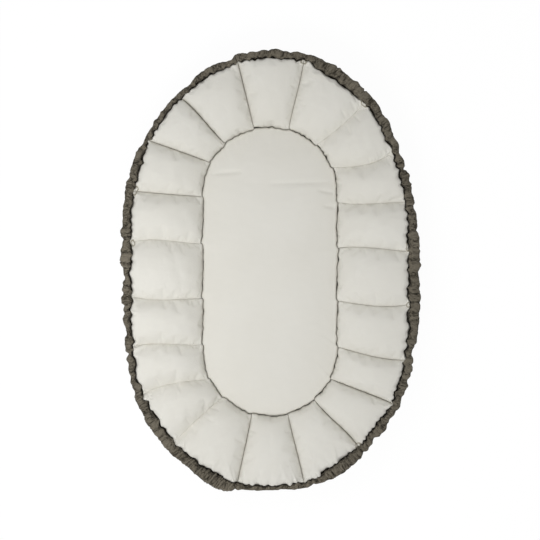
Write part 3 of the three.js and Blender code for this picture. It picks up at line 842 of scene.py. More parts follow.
def settled_faces():
    """All the cushions' upper skins, settled by cloth simulation: rows from bed to rim, and columns
    from seam to seam all the way round.

    The skins start a little flat. They are sewn fast along the seams, the bed edge and the rim, are
    cut longer than that beside the seams, and are blown up from inside, so that the spare cloth
    gathers in puckers along the stitching.
    """
    columns, rows = eased(CLOTH_ACROSS, CLOTH_EASE)[:-1], np.linspace(0, 1, CLOTH_ROWS + 1)
    across, share = np.meshgrid(columns, rows)
    points = [face_points(seam, across, share, START_SWELL) for seam in range(SEAMS)]
    points = np.concatenate(points, 1)
    across, share = np.tile(across, (1, SEAMS)), np.tile(share, (1, SEAMS))
    free = (12 * np.minimum(share, 1 - share)).clip(0, 1)
    free = free * (12 * np.minimum(across, 1 - across)).clip(0, 1)
    uneven = START_UNEVENNESS * random_waves(points[..., 0], points[..., 1], 0.03, 24, 5)
    points = points + grid_normals(points) * (uneven * free)[..., None]
    sewn = (across < 1e-6) | (share < 1e-6) | (share > 1 - 1e-6)
    places = np.arange(points.shape[1]) / CLOTH_ACROSS
    spare = spare_cloth(places, share, mean_length(points, 1) / SEAMS)
    moved = blown_up(points, sewn, spare) - points
    length = np.maximum(np.linalg.norm(moved, axis=-1, keepdims=True), 1e-9)
    return points + moved * np.minimum(1, LARGEST_MOVE / length)


def spline_weights(count, places):
    """Matrix that reads values at fractional places from a line of evenly counted ones, by the
    smooth cubic through the two on each side."""
    step = np.minimum(np.floor(places).astype(int), count - 2)
    f = places - step
    parts = (
        (-1, f * (-0.5 + f * (1 - 0.5 * f))),
        (0, 1 + f * f * (1.5 * f - 2.5)),
        (1, f * (0.5 + f * (2 - 1.5 * f))),
        (2, f * f * (0.5 * f - 0.5)),
    )
    weights = np.zeros((len(places), count))
    for offset, part in parts:
        np.add.at(weights, (np.arange(len(places)), (step + offset).clip(0, count - 1)), part)
    return weights


def fine_face(seam, faces):
    """One cushion's settled skin on the final grid, which is closer together at its edges."""
    columns = (seam * CLOTH_ACROSS + np.arange(CLOTH_ACROSS + 1)) % faces.shape[1]
    across, share = eased(ACROSS_STEPS), eased(FACE_STEPS)
    column_place = np.interp(across, eased(CLOTH_ACROSS, CLOTH_EASE), np.arange(CLOTH_ACROSS + 1))
    over_rows = spline_weights(CLOTH_ROWS + 1, share * CLOTH_ROWS)
    over_columns = spline_weights(CLOTH_ACROSS + 1, column_place)
    across, share = np.meshgrid(across, share)
    return across, share, np.einsum("ir,rck,jc->ijk", over_rows, faces[:, columns], over_columns)


def loop_creases(across, share, seam, width):
    """How deep the cushion's skin lies in the creases round the small loops at the rim, from 0 to 1:
    a Gaussian of the distance from each loop's ellipse."""
    total = np.zeros(across.shape)
    for place, half_length, inward, half_width in RIM_LOOPS:
        along = nearest_turn(seam + across - place) * width
        away = (1 - share) * END_WALL_REACH - inward
        from_line = (np.hypot(along / half_length, away / half_width) - 1) * half_width
        total += near(from_line, LOOP_CREASE_WIDTH)
    return total.clip(0, 1)


def wrinkled(points, across, share, seam):
    """Moves the skin along its normals by small puckers at the seams, the rim and the bed, and by
    slow dents. The border stays where it is sewn."""
    width, length = mean_length(points, 1), mean_length(points, 0)
    left, right = across * width, (1 - across) * width
    up, from_rim = share * length, (1 - share) * length
    seam_depth = 0.00018 + 0.0013 * SEAM_SPARE_SHARES[[seam, (seam + 1) % SEAMS]]
    foot = math.exp(-(((seam - 9.1) / 2.2) ** 2))
    # Along, away, length, count, reach, depth, width and the first cushion's seed
    sets = (
        (up, left, length, 22, 0.006, seam_depth[0], 0.0018, 100),
        (up, right, length, 22, 0.006, seam_depth[1], 0.0018, 200),
        (left, from_rim, width, 18, 0.006 + 0.008 * foot, 0.0004 + 0.0036 * foot, 0.0026, 300),
        (left, from_rim, width, 7, 0.03, 0.0003 + 0.0022 * foot, 0.006, 350),
        (left, up, width, 12, 0.007, 0.0004, 0.0022, 400),
    )
    depth = sum(puckers(*details, seed + seam) for *details, seed in sets)
    dents = 0.00025 * random_waves(points[..., 0], points[..., 1], 0.06, 24, 500 + seam)
    dents += 0.00005 * random_waves(points[..., 0], points[..., 1], 0.014, 24, 600 + seam)
    edge = np.minimum(np.minimum(across, 1 - across) * width, np.minimum(share, 1 - share) * length)
    held = 1 - near(edge, SEWN_EDGE)
    loops = LOOP_CREASE_DEPTH * loop_creases(across, share, seam, width)
    return points + grid_normals(points) * ((dents - depth) * held - loops)[..., None]


def aside_from_seam(points, seam):
    """Moves the two end columns half the seam gap into the cushion, level and square to the seam."""
    moved = points.copy()
    for column, place, turn in ((0, seam, 1), (-1, seam + 1, -1)):
        rim, _ = rim_curve(np.array(float(place)))
        along = rim - bed_point(np.array(float(place)))
        along /= np.linalg.norm(along)
        half_gap = SEAM_HALF_GAP * (0.1 + SEAM_CRISPNESS[place % SEAMS] ** 2)
        moved[:, column, :2] += turn * half_gap * np.array([-along[1], along[0]])
    return moved


def bed_step(place):
    """How far the bed's edge lies outside its smooth outline: it runs out from each seam to the
    next, and steps back in there, further at some seams than at others, the cushions bulge in
    between their seams, and the whole edge wavers."""
    way = place % 1
    height = BED_STEP * (1 + 0.5 * np.sin(2.4 * np.floor(place)))
    smooth = height * (way - 0.5) * (1 - np.exp(-way / 0.03)) * 2
    smooth = smooth + BED_BULGE * (0.4 - np.sin(np.pi * way))
    along = place % SEAMS * BED_LENGTH_PER_CUSHION
    return smooth + BED_WAVER * waves_along(along, 0.013, 14, 702)


def drawn_back(points, across, share, seam):
    """Moves the skin away from the mattress beside the crevice, by a random width that is nothing
    at the seams, more on the right than on the left, and fades a few millimetres up the face."""
    place = seam + across
    way = place * BED_LENGTH_PER_CUSHION
    wander = 0.3 + 0.6 * waves_along(way, 0.02, 12, 700) + 0.4 * waves_along(way, 0.009, 12, 701)
    opened = 0.0009 + 0.0006 * bed_point(place)[..., 0] / BED_RADIUS
    opened = opened * wander.clip(0, 1.6) * np.sqrt(np.sin(np.pi * across).clip(0))
    width = opened + bed_step(place - 1e-6 * (across > 0.5))
    fade = np.exp(-share / 0.05)
    bed, (rim, _) = bed_point(place), rim_curve(place)
    direction = (rim - bed) / np.linalg.norm(rim - bed, axis=-1, keepdims=True)
    moved = points.copy()
    moved[..., :2] += direction * (width * fade)[..., None]
    return moved


def face_crease_shade(face, across, share, seam):
    """Painted shade on the face, from 0 to 1, where it lies in a crease: beside the crevice round the
    mattress, at the rim, round the loops and at the crisp seams."""
    low = 0.5 * np.exp(-share * mean_length(face, 0) / 0.0012)
    high = 0.7 * np.exp(-(1 - share) * FACE_LENGTH / 0.001)
    loops = loop_creases(across, share, seam, mean_length(face, 1))
    nearest = np.where(across < 0.5, SEAM_CRISPNESS[seam], SEAM_CRISPNESS[(seam + 1) % SEAMS])
    side = nearest**2 * np.exp(-np.minimum(across, 1 - across) * FACE_WIDTH / 0.0009)
    return np.maximum.reduce([low, high, loops, side])


def wall_cushion(seam, faces):
    """One cushion's closed skin: its face, then down its back, in over the base and up the bed."""
    across, share, face = fine_face(seam, faces)
    face = wrinkled(face, across, share, seam)
    face = drawn_back(face, across, share, seam)
    columns = eased(ACROSS_STEPS)
    level = np.linspace(1, 0, BACK_STEPS + 1)[1:-1, None] + 0 * columns
    height = level * rim_height(seam + columns)
    back = wall_points(seam + columns + 0 * level, back_share(level), height)
    base_shares = np.array([BASE_SHARE, 0.5, 0])[:, None] + 0 * columns
    base = wall_points(seam + columns + 0 * base_shares, base_shares, CUSHION_BOTTOM)
    base[-1] = drawn_back(base[-1], columns, 0 * columns, seam)
    rise = np.linspace(CUSHION_BOTTOM, BED_EDGE_HEIGHT, 6)[1:-1, None] + 0 * columns
    inner = wall_points(seam + columns + 0 * rise, 0 * rise, rise)
    inner = drawn_back(inner, columns + 0 * rise, 0 * rise, seam)
    points = aside_from_seam(np.concatenate([face, back, base, inner]), seam)
    u = columns * np.linalg.norm(np.diff(face, axis=1), axis=-1).sum(1).max()
    v = rows_way(np.concatenate([points, points[:1]]))
    skin = Skin()
    skin.grid(points, uv_grid(u, v), closed_rows=True)
    skin.side_caps(*points.shape[:2])
    mesh = skin.mesh(f"cushion_{seam + 1:02d}")
    # The face takes painted shade in its creases
    paint_crease_shade(mesh, face_crease_shade(face, across, share, seam))
    mesh.set_sharp_from_angle(angle=math.radians(55))
    piece = add_piece(mesh, CREAM, "nest", "cream_cotton", f"wall_cushion_{seam + 1:02d}")


settled = settled_faces()
for seam in range(SEAMS):
    wall_cushion(seam, settled)


# Mattress

PAD_STEPS = 640
PAD_TOP_ROWS = 46
PAD_HALF = MATTRESS_SIZE[0] / 2
PAD_CROWN = 0.011
PAD_EDGE_HEIGHT = MATTRESS_SIZE[2] - PAD_CROWN
PAD_EDGE_RADIUS = 0.006
PAD_SEAM_DIP = 0.0012
PAD_INSET = 0.0002
PAD_UNDER_RADIUS = 0.013
PAD_UNDER_TURNS = np.linspace(0, np.pi / 2, 9)[1:]
SLOT_HALF = np.array([0.105, 0.007])
GROOVE_CLEARANCE = 0.001
GROOVE_HEADROOM = 0.0003
CORE_CLEARANCE = 0.0012
TAPE_LOW = MATTRESS_LOW[2] + 0.0023
TAPE_THICKNESS = 0.0009
TOOTH_PITCH = 0.002
COIL_HALF_WIDTH = 0.0022

# Soft creases in the pad's top: where each starts and ends, its depth and its half width
PAD_CREASES = (
    ((-0.118, 0.199), (-0.062, 0.204), 0.0034, 0.004),
    ((0.002, 0.178), (0.122, 0.182), 0.0026, 0.0045),
    ((0.102, 0.165), (0.132, 0.16), 0.0034, 0.003),
    ((0.112, 0.134), (0.137, 0.128), 0.003, 0.003),
)


def pad_section(inset):
    """The pad's half section from its middle over the top, round the edge and under: how far in
    from the outline, as a length, and the height over its underside."""
    top = np.linspace(1, 0, PAD_TOP_ROWS)
    flat_in = PAD_EDGE_RADIUS + (PAD_HALF - PAD_EDGE_RADIUS) * top
    crown = PAD_CROWN * (1 - (1 - np.minimum(flat_in / PAD_HALF, 1)) ** 3.2)
    corner = np.linspace(0, np.pi / 2, 10)[1:]
    edge_in = PAD_EDGE_RADIUS * (1 - np.sin(corner))
    ins = np.concatenate([flat_in, edge_in, [0.0004, PAD_SEAM_DIP, 0.0004, 0]])
    heights = np.concatenate(
        [
            PAD_EDGE_HEIGHT + crown,
            PAD_EDGE_HEIGHT + crown[-1] - PAD_EDGE_RADIUS * (1 - np.cos(corner)),
            PAD_EDGE_HEIGHT * np.array([0.56, 0.5, 0.44, 0.3]),
        ]
    )
    under_in = PAD_UNDER_RADIUS * np.append(1 - np.cos(PAD_UNDER_TURNS), 1.3)
    under_up = heights[-1] * np.append(1 - np.sin(PAD_UNDER_TURNS), 0)
    return np.concatenate([ins, under_in]) + inset, np.concatenate([heights, under_up])


def pad_loops(ins, heights):
    """Rings round the pad: the outline drawn in by each length, at each height."""
    share = np.arange(PAD_STEPS) / PAD_STEPS
    rings = [round_ended(share, max(PAD_HALF - i, 1e-5), BED_STRAIGHT_HALF) for i in ins]
    return raised(np.stack(rings) + MATTRESS_CENTRE[:2], (MATTRESS_LOW[2] + heights)[:, None])


def crease(x, y, start, end, depth, width):
    """Depth of one soft crease between two points: a Gaussian of the distance from their line."""
    start, end = np.array(start), np.array(end)
    line = end - start
    share = (((x - start[0]) * line[0] + (y - start[1]) * line[1]) / (line @ line)).clip(0, 1)
    distance = np.hypot(x - start[0] - share * line[0], y - start[1] - share * line[1])
    fade = np.sin(np.pi * (0.12 + 0.76 * share))
    return -depth * fade * near(distance, width)


def pad_lift(x, y, ins):
    """How far the pad's top is lifted off its smooth section: slow waves and the soft creases."""
    flatness = 1 - near(ins, 0.02)[:, None]
    relief = 0.0004 * random_waves(x * 0.55, y, 0.09, 30, 71)
    relief = relief + 0.00008 * random_waves(x, y * 1.3, 0.03, 30, 72)
    creases = sum(crease(x, y, *details) for details in PAD_CREASES)
    top = (np.arange(len(ins)) < PAD_TOP_ROWS)[:, None]
    return (relief * flatness + creases) * top


def pad_shift(plan, ins, heights, perimeter):
    """How far the pad's rings are shifted in plan, square to them: small gathers and a sway at the
    edge, and the steps of the wall's inner edge, which fade away inwards."""
    share = np.arange(PAD_STEPS) / PAD_STEPS
    way = share * perimeter
    edge_rows = near(heights - PAD_EDGE_HEIGHT * 0.75, 0.012)[:, None] * (ins < 0.03)[:, None]
    gathers = pleats(way, perimeter, 0.006, 0.016, 73)[None, :] - 0.5
    sway = waves_along(way, 0.03, 14, 74)
    seams = np.concatenate([[BED_SHARES[-1] - 1], BED_SHARES, [BED_SHARES[0] + 1]])
    stepped = bed_step(np.interp(share, seams, np.arange(-1, SEAMS + 1)))
    stepped = stepped * np.exp(-ins / 0.02)[:, None]
    along = plan - np.roll(plan, 1, 1)
    normal = np.stack([along[..., 1], -along[..., 0]], -1)
    normal /= np.maximum(np.linalg.norm(normal, axis=-1, keepdims=True), 1e-12)
    return normal * ((0.0005 * gathers + 0.0002 * sway - 0.0002) * edge_rows + stepped)[..., None]


def drawn_to(ring, slot, steps):
    """Rings on straight lines from one ring to another, which is the last of them."""
    share = np.linspace(0, 1, steps + 1)[1:, None, None]
    return ring * (1 - share) + slot * share


def mattress_cover():
    """The pad's cover as one closed skin: top, edge, underside and the slot for the zip, then back
    inside at the cloth's thickness."""
    ins, heights = pad_section(PAD_INSET)
    perimeter = 2 * np.pi * PAD_HALF + 4 * BED_STRAIGHT_HALF
    outer = pad_loops(ins, heights)
    lift = pad_lift(outer[..., 0], outer[..., 1], ins)
    shift = pad_shift(outer[..., :2], ins, heights, perimeter)
    outer[..., 2] += lift
    outer[..., :2] += shift
    slot = slot_ring(outer[-1], SLOT_HALF)
    under = drawn_to(outer[-1], slot, 8)
    inner = pad_loops(ins[::-1] + CLOTH_THICKNESS, heights[::-1])
    under_side = np.append(np.sin(PAD_UNDER_TURNS), 1)
    cloth_up = np.concatenate([np.full(len(ins) - len(under_side), -1), under_side])
    cloth_up = CLOTH_THICKNESS * cloth_up
    inner[..., 2] += lift[::-1] + cloth_up[::-1, None]
    inner[..., :2] += shift[::-1]
    lifted_slot = slot + np.array([0, 0, CLOTH_THICKNESS])
    points = np.concatenate([outer, under, lifted_slot[None], inner])
    uv = uv_grid(np.linspace(0, perimeter, PAD_STEPS + 1), rows_way(points))
    flat = len(outer) + len(under)
    uv[:flat, :-1] = points[:flat, :, :2]
    uv[:flat, -1] = points[:flat, 0, :2]
    skin = Skin()
    skin.grid(points, uv, closed_columns=True)
    mesh = skin.mesh("mattress_pad", weld=True)
    piece = add_piece(mesh, CREAM, "mattress", "cream_cotton", "mattress_cover")


def slot_ring(outline, half):
    """A rectangle's edge round the zip, with a point for each of the outline's, seen from the zip's
    middle in the same direction: where a ray in that direction leaves the rectangle. The points
    nearest to the rectangle's corners move into them."""
    centre = np.array([0, (ZIP_LOW[1] + ZIP_HIGH[1]) / 2])
    ray = outline[:, :2] - centre
    reach = np.min(half / np.maximum(np.abs(ray), 1e-9), axis=1, keepdims=True)
    ring = centre + ray * reach
    for corner in centre + half * np.array([(1, 1), (1, -1), (-1, 1), (-1, -1)]):
        ring[np.argmin(np.linalg.norm(ring - corner, axis=1))] = corner
    return np.concatenate([ring, outline[:, 2:]], -1)


def mattress_core():
    """The foam slab in the pad's cover: the pad's own section, drawn in, with a groove underneath
    that keeps clear of the zip."""
    ins, heights = pad_section(CORE_LOW[0] - MATTRESS_LOW[0] + CORE_CLEARANCE)
    rings = pad_loops(ins, heights)[:, ::4]
    share = (CORE_HIGH[2] - CORE_LOW[2] - 2 * CORE_CLEARANCE) / MATTRESS_SIZE[2]
    rings[..., 2] = CORE_LOW[2] + (rings[..., 2] - MATTRESS_LOW[2]) * share
    groove = slot_ring(rings[-1], (ZIP_HIGH - ZIP_LOW)[:2] / 2 + GROOVE_CLEARANCE)
    roof = raised(groove[None, :, :2], ZIP_HIGH[2] + GROOVE_HEADROOM)
    points = np.concatenate([rings, drawn_to(rings[-1], groove, 6), roof])
    skin = Skin()
    skin.grid(points, plan_uv(points), closed_columns=True)
    rows, count = points.shape[:2]
    skin.cap(((rows - 1) * count + np.arange(count))[::-1])
    mesh = skin.mesh("foam_core", weld=True)
    mesh.set_sharp_from_angle(angle=math.radians(40))
    piece = add_piece(mesh, FOAM, "mattress", "foam", "mattress_core")


def zip_tape():
    """The zip's two woven tapes, sewn to the cover's inside beside the slot and higher over it, and
    meeting in a fine cleft along the middle."""
    low, high = ZIP_LOW, ZIP_HIGH
    middle = (low[1] + high[1]) / 2
    half = (high[1] - low[1]) / 2
    across = np.linspace(-half, half, 61)
    over_slot = 1 / (1 + np.exp((np.abs(across) - SLOT_HALF[1] - 0.002) / 0.0006))
    top = TAPE_LOW + TAPE_THICKNESS + (high[2] - TAPE_LOW - TAPE_THICKNESS) * over_slot
    cleft = 0.00035 * near(across, 0.0004)
    x = np.linspace(low[0], high[0], 120)
    ripple = 0.00012 * random_waves(x[None, :], across[:, None], 0.012, 16, 131)
    y = np.concatenate([across, across[::-1]])[:, None] + middle + 0 * x
    thin = np.minimum(1, (half - np.abs(across)) / 0.0004 + 0.3)
    up = np.concatenate([top - cleft, (top - TAPE_THICKNESS * thin + cleft)[::-1]])[:, None]
    up = up + np.concatenate([ripple, ripple[::-1]]) - 0.00024
    points = np.stack([np.broadcast_to(x, up.shape), y, up], -1)
    skin = Skin()
    skin.grid(points, np.concatenate([points[..., :2], points[:1, :, :2]]), closed_rows=True)
    skin.side_caps(*points.shape[:2])
    tape = add_piece(skin.mesh("zip_tapes"), TAPE, "mattress", "zip", "zip_tape")
    zip_coil(middle)


def zip_coil(middle):
    """The closed zip's teeth: round-ended bars side by side across the slot, by turns a little to
    one side and to the other, on a cord that runs along the tapes."""
    length = 2 * (SLOT_HALF[0] - 0.004)
    count = int(length / TOOTH_PITCH)
    t = np.linspace(0, np.pi, 7)[:, None]
    turn = np.linspace(0, 2 * np.pi, 8, endpoint=False)
    y = -COIL_HALF_WIDTH * blunt(np.cos(t), 0.6) + 0 * turn
    x = 0.42 * TOOTH_PITCH * np.sin(t) ** 0.4 * np.cos(turn)
    z = 0.42 * (TAPE_LOW - ZIP_LOW[2]) * np.sin(t) ** 0.4 * np.sin(turn)
    tooth = np.stack([x, y, z + (TAPE_LOW + ZIP_LOW[2]) / 2], -1)
    skin = Skin()
    uv = uv_grid(np.append(turn, 2 * np.pi), t[:, 0]) * 0.0005
    for number in range(count):
        shift = ((number - (count - 1) / 2) * TOOTH_PITCH, middle + 0.0003 * (-1) ** number, 0)
        skin.grid(tooth + np.array(shift), uv, closed_columns=True)
    cord_x = np.linspace(-length / 2, length / 2, 40)
    ring = ring_turns(12)
    cord_high = ZIP_HIGH[2] - TAPE_THICKNESS
    cord_mid, cord_half = (cord_high + TAPE_LOW) / 2, (cord_high - TAPE_LOW) / 2 + 0.0001
    cord_y = middle + 0.0014 * np.cos(ring) + 0 * cord_x
    cord_z = cord_mid + cord_half * np.sin(ring) + 0 * cord_x
    cord = np.stack([cord_x + 0 * ring, cord_y, cord_z], -1)
    skin.grid(cord, uv_grid(cord_x, np.linspace(0, 0.01, 13)), closed_rows=True)
    skin.side_caps(*cord.shape[:2])
    return add_piece(skin.mesh("zip_coil", weld=True), ZIP, "mattress", "zip", "zip_tape")


mattress_cover()
mattress_core()
zip_tape()


# Gathered rim

SECTION_STEPS = 34
SECTION_POWER = 0.62
GROOVE_WIDTH = 0.0022
LOWEST_SHARE = 0.7
INNER_SKIP = 8
INNER_DEPTH = 0.0024
FOLD_RISE = 0.0031
END_CLOSING = 0.0035
CLOTH_FULLNESS = 1.6
TUBE_GIRTH = 0.11


def perimeter_way(places):
    """Length along the rim seam from the first of some places, by summing short chords."""
    rim, _ = rim_curve(places)
    return running_sum(np.linalg.norm(np.diff(rim, axis=0), axis=1))


def groove_width(places, way):
    """Width of the dark groove beside the cushions: it closes at the seams and wavers between."""
    opened = 1 - corner_share(places)
    return GROOVE_WIDTH * opened * (1.05 + 0.6 * waves_along(way, 0.016, 14, 84)).clip(0.15)


def crumple(way, turns, length, stretch, seed):
    """Height of crumpled folds: the size of a random field that changes along the tube over the
    length and round it more slowly, so that rounded lumps meet in creases where the field is zero."""
    round_tube = stretch * CASING_HEIGHT / 2
    field = random_waves(way, round_tube * np.cos(turns), length, 30, seed)
    field += random_waves(way, round_tube * np.sin(turns), length, 30, seed + 1)
    return np.sqrt(field * field / 2 + 0.002)


def gathered_folds(way, turns, seed):
    """Height of the gathers over a whole ruffle, about zero on average: three sizes of crumpled
    folds, which lean one way or the other round the tube and are flatter on its outer side."""
    along = way + 0.003 * np.sin(turns + 2 * waves_along(way, 0.07, 12, seed))
    outside = np.cos(turns).clip(0)
    total = 0.42 * crumple(along, turns, 0.026, 0.5, seed + 1)
    total = total + 0.36 * (1 - 0.6 * outside) * crumple(along, turns, 0.012, 0.4, seed + 3)
    finest = (0.55 - 0.45 * np.cos(turns)) * crumple(along, turns, 0.0062, 0.35, seed + 5)
    return total + 0.3 * finest - 0.74 + 0.16 * outside


def packed_folds(way, turns, length, seed):
    """Height of close, even ribs that run straight across the tube, lean a little and are flatter
    on its outer side."""
    lean = 0.004 * np.cos(turns) + 0.0015 * waves_along(way, 0.02, 12, seed)
    ribs = crumple(way + lean, turns, length, 0.12, seed + 1) - 0.75
    return (1 - 0.6 * np.cos(turns).clip(0)) * ribs


def band_points(places, groove, fold, drawn_in):
    """Points of the gathered tube: a squarish ellipse between the band's two edges that hangs from
    the rim seam by its lower inner corner, swollen by the folds everywhere but there."""
    turns = ring_turns(SECTION_STEPS)
    outer, inner = band_edges(places)
    half_width = (outer - inner - CASING_GAP - groove) / 2
    fullness = LOWEST_SHARE + (1 - LOWEST_SHARE) * 2 * half_width / RUFFLE_WIDTH
    half_height = CASING_HEIGHT / 2 * fullness
    middle = outer - half_width
    depth = np.minimum(drawn_in, 0.5 * half_width)
    x, y = (blunt(side(turns), SECTION_POWER) for side in (np.cos, np.sin))
    normal = np.stack([np.cos(turns) / half_width, np.sin(turns) / half_height], -1)
    normal /= np.linalg.norm(normal, axis=-1, keepdims=True)
    towards_seam = np.cos(turns - 1.25 * np.pi).clip(0) ** 3
    swell = (1 - 0.85 * towards_seam) * fold * np.sqrt(half_width / 0.009).clip(0.5, 1.2) - depth
    across = middle + x * half_width + normal[..., 0] * swell
    up = half_height + y * half_height + normal[..., 1] * swell
    tip = near(turns - 1.22 * np.pi, 0.42)
    across = across + (inner + CASING_GAP + depth - across) * tip
    up = up + (rim_height(places) - RIM_SEAM_HEIGHT + 0.0008 + depth - up) * tip
    rim, outward = rim_curve(places)
    return raised(rim[None] + outward[None] * across[..., None], RIM_SEAM_HEIGHT + up)


def band_mesh(name, outer, inner, way):
    """The tube's mesh: a fine outer skin, an inner one with every eighth column and every second
    row, and a ring of faces that closes each end."""
    rows, columns = outer.shape[:2]
    stretch = np.linspace(0, TUBE_GIRTH, rows + 1)
    skin = Skin()
    skin.grid(outer, uv_grid(way, stretch), closed_rows=True)
    coarse = inner[::2, ::INNER_SKIP][::-1]
    skin.grid(coarse, uv_grid(way[::INNER_SKIP], stretch[::2]), closed_rows=True)
    half, few = coarse.shape[:2]
    number = np.arange(half)
    for first, last in ((0, 0), (columns - 1, few - 1)):
        a = 2 * number * columns + first
        b = (2 * number + 1) * columns + first
        c = (2 * number + 2) % rows * columns + first
        d = rows * columns + (half - 1 - (number + 1) % half) * few + last
        e = rows * columns + (half - 1 - number) * few + last
        ring = np.stack([a, b, c, d, e] if first else [e, d, c, b, a], -1)
        skin.faces += ring.tolist()
        skin.corner_uvs.append(np.zeros((5 * half, 2)))
    return skin.mesh(name)


def casing(name, start, end, steps, folds, node, flat):
    """One stretch of the gathered band, which closes up a little where it ends at a notch."""
    places = np.linspace(start, end, steps)
    way = perimeter_way(places)
    turns = ring_turns(SECTION_STEPS)
    fold = FOLD_RISE * folds(places, way, turns)
    closing = END_CLOSING * near(np.minimum(way, way[-1] - way), 0.004)
    groove = groove_width(places, way)
    outer = band_points(places, groove, fold - closing, 0)
    inner = band_points(places, groove, 0 * fold - closing, INNER_DEPTH)
    mesh = band_mesh(name, outer, inner, CLOTH_FULLNESS * way)
    # Painted shade: the band darkens in the folds' hollows, along thin crease lines drawn in colour
    # only, and all along the tube's lower inner side in the groove
    lines = crumple(way, turns, 0.0052, 0.6, 141) + crumple(way, turns, 0.0031, 0.8, 143) - 1.4
    depth = (0.46 - 0.75 * fold / FOLD_RISE - 0.42 * lines).clip(0, 1) ** 1.5
    paint_crease_shade(mesh, np.maximum(depth, near(turns - 1.18 * np.pi, 0.5)))
    piece = add_piece(mesh, OLIVE, "nest", "olive_cotton", node)


def rim_folds(places, way, turns):
    """Loose gathers, but close ribs left of the foot."""
    packed = 0.85 * np.exp(-(((places % SEAMS - 8.55) / 0.42) ** 4))
    close = packed_folds(way, turns, 0.0095, 101)
    return gathered_folds(way, turns, 81) * (1 - packed) + close * packed


def foot_folds(places, way, turns):
    return 0.6 * packed_folds(way, turns, 0.017, 111)


rim_ends = FOOT_END + NOTCH_HALF, FOOT_START + SEAMS - NOTCH_HALF
foot_ends = FOOT_START + NOTCH_HALF, FOOT_END - NOTCH_HALF
casing("gathered_rim", *rim_ends, RIM_STEPS + 1, rim_folds, "rim_casing", (0.066, 2.5))
casing("foot_rim", *foot_ends, RIM_STEPS // 4 + 1, foot_folds, "foot_casing", (0.056, 0.16))


# Elastic

ELASTIC_STEPS = SEAMS * 32
ELASTIC_HALF_THICKNESS = 0.0006
ELASTIC_RIBS = 5
SOLID_CASING_HEIGHT = 0.024
ELASTIC_DROP = SOLID_CASING_HEIGHT - CASING_HEIGHT


def rim_elastic():
    """The flat elastic that gathers the rim. It stands on edge inside the tube, has ribs along both
    faces, and dips a little with every gather. It lies lower than its solid by as much as the tube
    is lower than the casing's."""
    places = np.linspace(0, SEAMS, ELASTIC_STEPS, endpoint=False)
    way = perimeter_way(np.append(places, SEAMS))
    outer, inner = band_edges(places)
    middle = (outer + inner + CASING_GAP + groove_width(places, way[:-1])) / 2
    height = ELASTIC_HIGH[2] - ELASTIC_LOW[2]
    turns = ring_turns(32)
    up = blunt(np.sin(turns), 0.5) * height / 2
    thick = blunt(np.cos(turns), 0.35) * ELASTIC_HALF_THICKNESS
    thick = thick * (0.86 + 0.14 * np.cos(2 * np.pi * ELASTIC_RIBS * up / height))
    dip = 0.0003 * waves_along(way[:-1], 0.008, 14, 121)
    rim, outward = rim_curve(places)
    plan = rim[None] + outward[None] * (middle + thick + dip)[..., None]
    level = (ELASTIC_LOW[2] + ELASTIC_HIGH[2]) / 2 - ELASTIC_DROP + up + 0 * middle
    uv = uv_grid(way, np.linspace(0, 0.018, len(turns) + 1))
    skin = Skin()
    skin.grid(raised(plan, level), uv, closed_rows=True, closed_columns=True)
    add_piece(skin.mesh("elastic_band"), ELASTIC, "nest", "elastic", "rim_elastic")


rim_elastic()


# Outer cover

COVER_ROWS = 46
COVER_HEM = 0.93
COVER_BOTTOM = 0.0012
COVER_TOP_GAP = 0.0003
COVER_LEAST_REACH = 0.0003
COVER_INNER_SKIP = 3
COVER_LENGTH = 0.11


def hanging_folds(way, down, length, seed):
    """Height of folds that hang from the gathered rim: the size of a random field that changes along
    the rim over the length and eight times more slowly down the cover."""
    field = random_waves(way + 0 * down, 0.085 * down / 8, length, 40, seed)
    return np.sqrt(field * field + 0.003) - 0.8


def side_cover():
    """Thin cloth from under the casing down to the base: it bellies out from the wall's back, with
    folds that are deepest at the top and fade towards a stitched hem."""
    places = np.linspace(0, SEAMS, RIM_STEPS // 2, endpoint=False)
    way = perimeter_way(np.append(places, SEAMS))
    down = np.linspace(0, 1, COVER_ROWS)[:, None]
    level = 1 - down
    width, _ = band_edges(places)
    plan = wall_points(places + 0 * down, back_share(level), 0.0)[..., :2]
    _, outward = rim_curve(places)
    top_reach = 0.3 * np.minimum(width, FOOT_CASING_WIDTH)
    belly = np.sin(np.pi * down**0.75) * 0.4 * width + top_reach * (1 - down) ** 2
    rise = COVER_FOLD_RISE * np.minimum(1, (width / 0.017) ** 1.5)
    depth = rise * (hanging_folds(way[:-1], down, 0.034, 95) * near(down, 0.75))
    depth += 0.55 * rise * hanging_folds(way[:-1], down, 0.014, 97) * np.exp(-down / 0.3)
    depth += 0.2 * rise * hanging_folds(way[:-1], down, 0.006, 99) * np.exp(-down / 0.12)
    hem = 0.0012 * near(down - COVER_HEM, 0.012)
    reach = COVER_CLEARANCE + belly + (depth + 0.5 * rise).clip(0) * (1 - down**6) - hem
    reach = np.minimum(reach, COVER_CLEARANCE + 0.7 * width)
    height = COVER_BOTTOM + level * (RIM_SEAM_HEIGHT - COVER_BOTTOM - COVER_TOP_GAP) + 0 * reach
    outer = raised(plan + outward * (reach + COVER_THICKNESS)[..., None], height)
    inner = raised(plan + outward * np.maximum(reach, COVER_LEAST_REACH)[..., None], height)
    points = np.concatenate([outer, inner[::COVER_INNER_SKIP][::-1]])
    v = np.concatenate([down[:, 0], 2 - down[::COVER_INNER_SKIP][::-1, 0], [2.0]]) * COVER_LENGTH
    skin = Skin()
    skin.grid(points, uv_grid(way * 1.3, v), closed_rows=True, closed_columns=True)
    mesh = skin.mesh("outer_cover")
    # Painted shade: darkest in the hollows of the hanging folds, a little all over
    paint_crease_shade(mesh, (0.1 - 260 * depth).clip(0, 0.75))
    piece = add_piece(mesh, OLIVE, "nest", "olive_cotton", "side_cover")


side_cover()


# Base panel and floor lining

BASE_STEPS = 480
LINING_STEPS = 360
PANEL_RELIEF = 0.0002


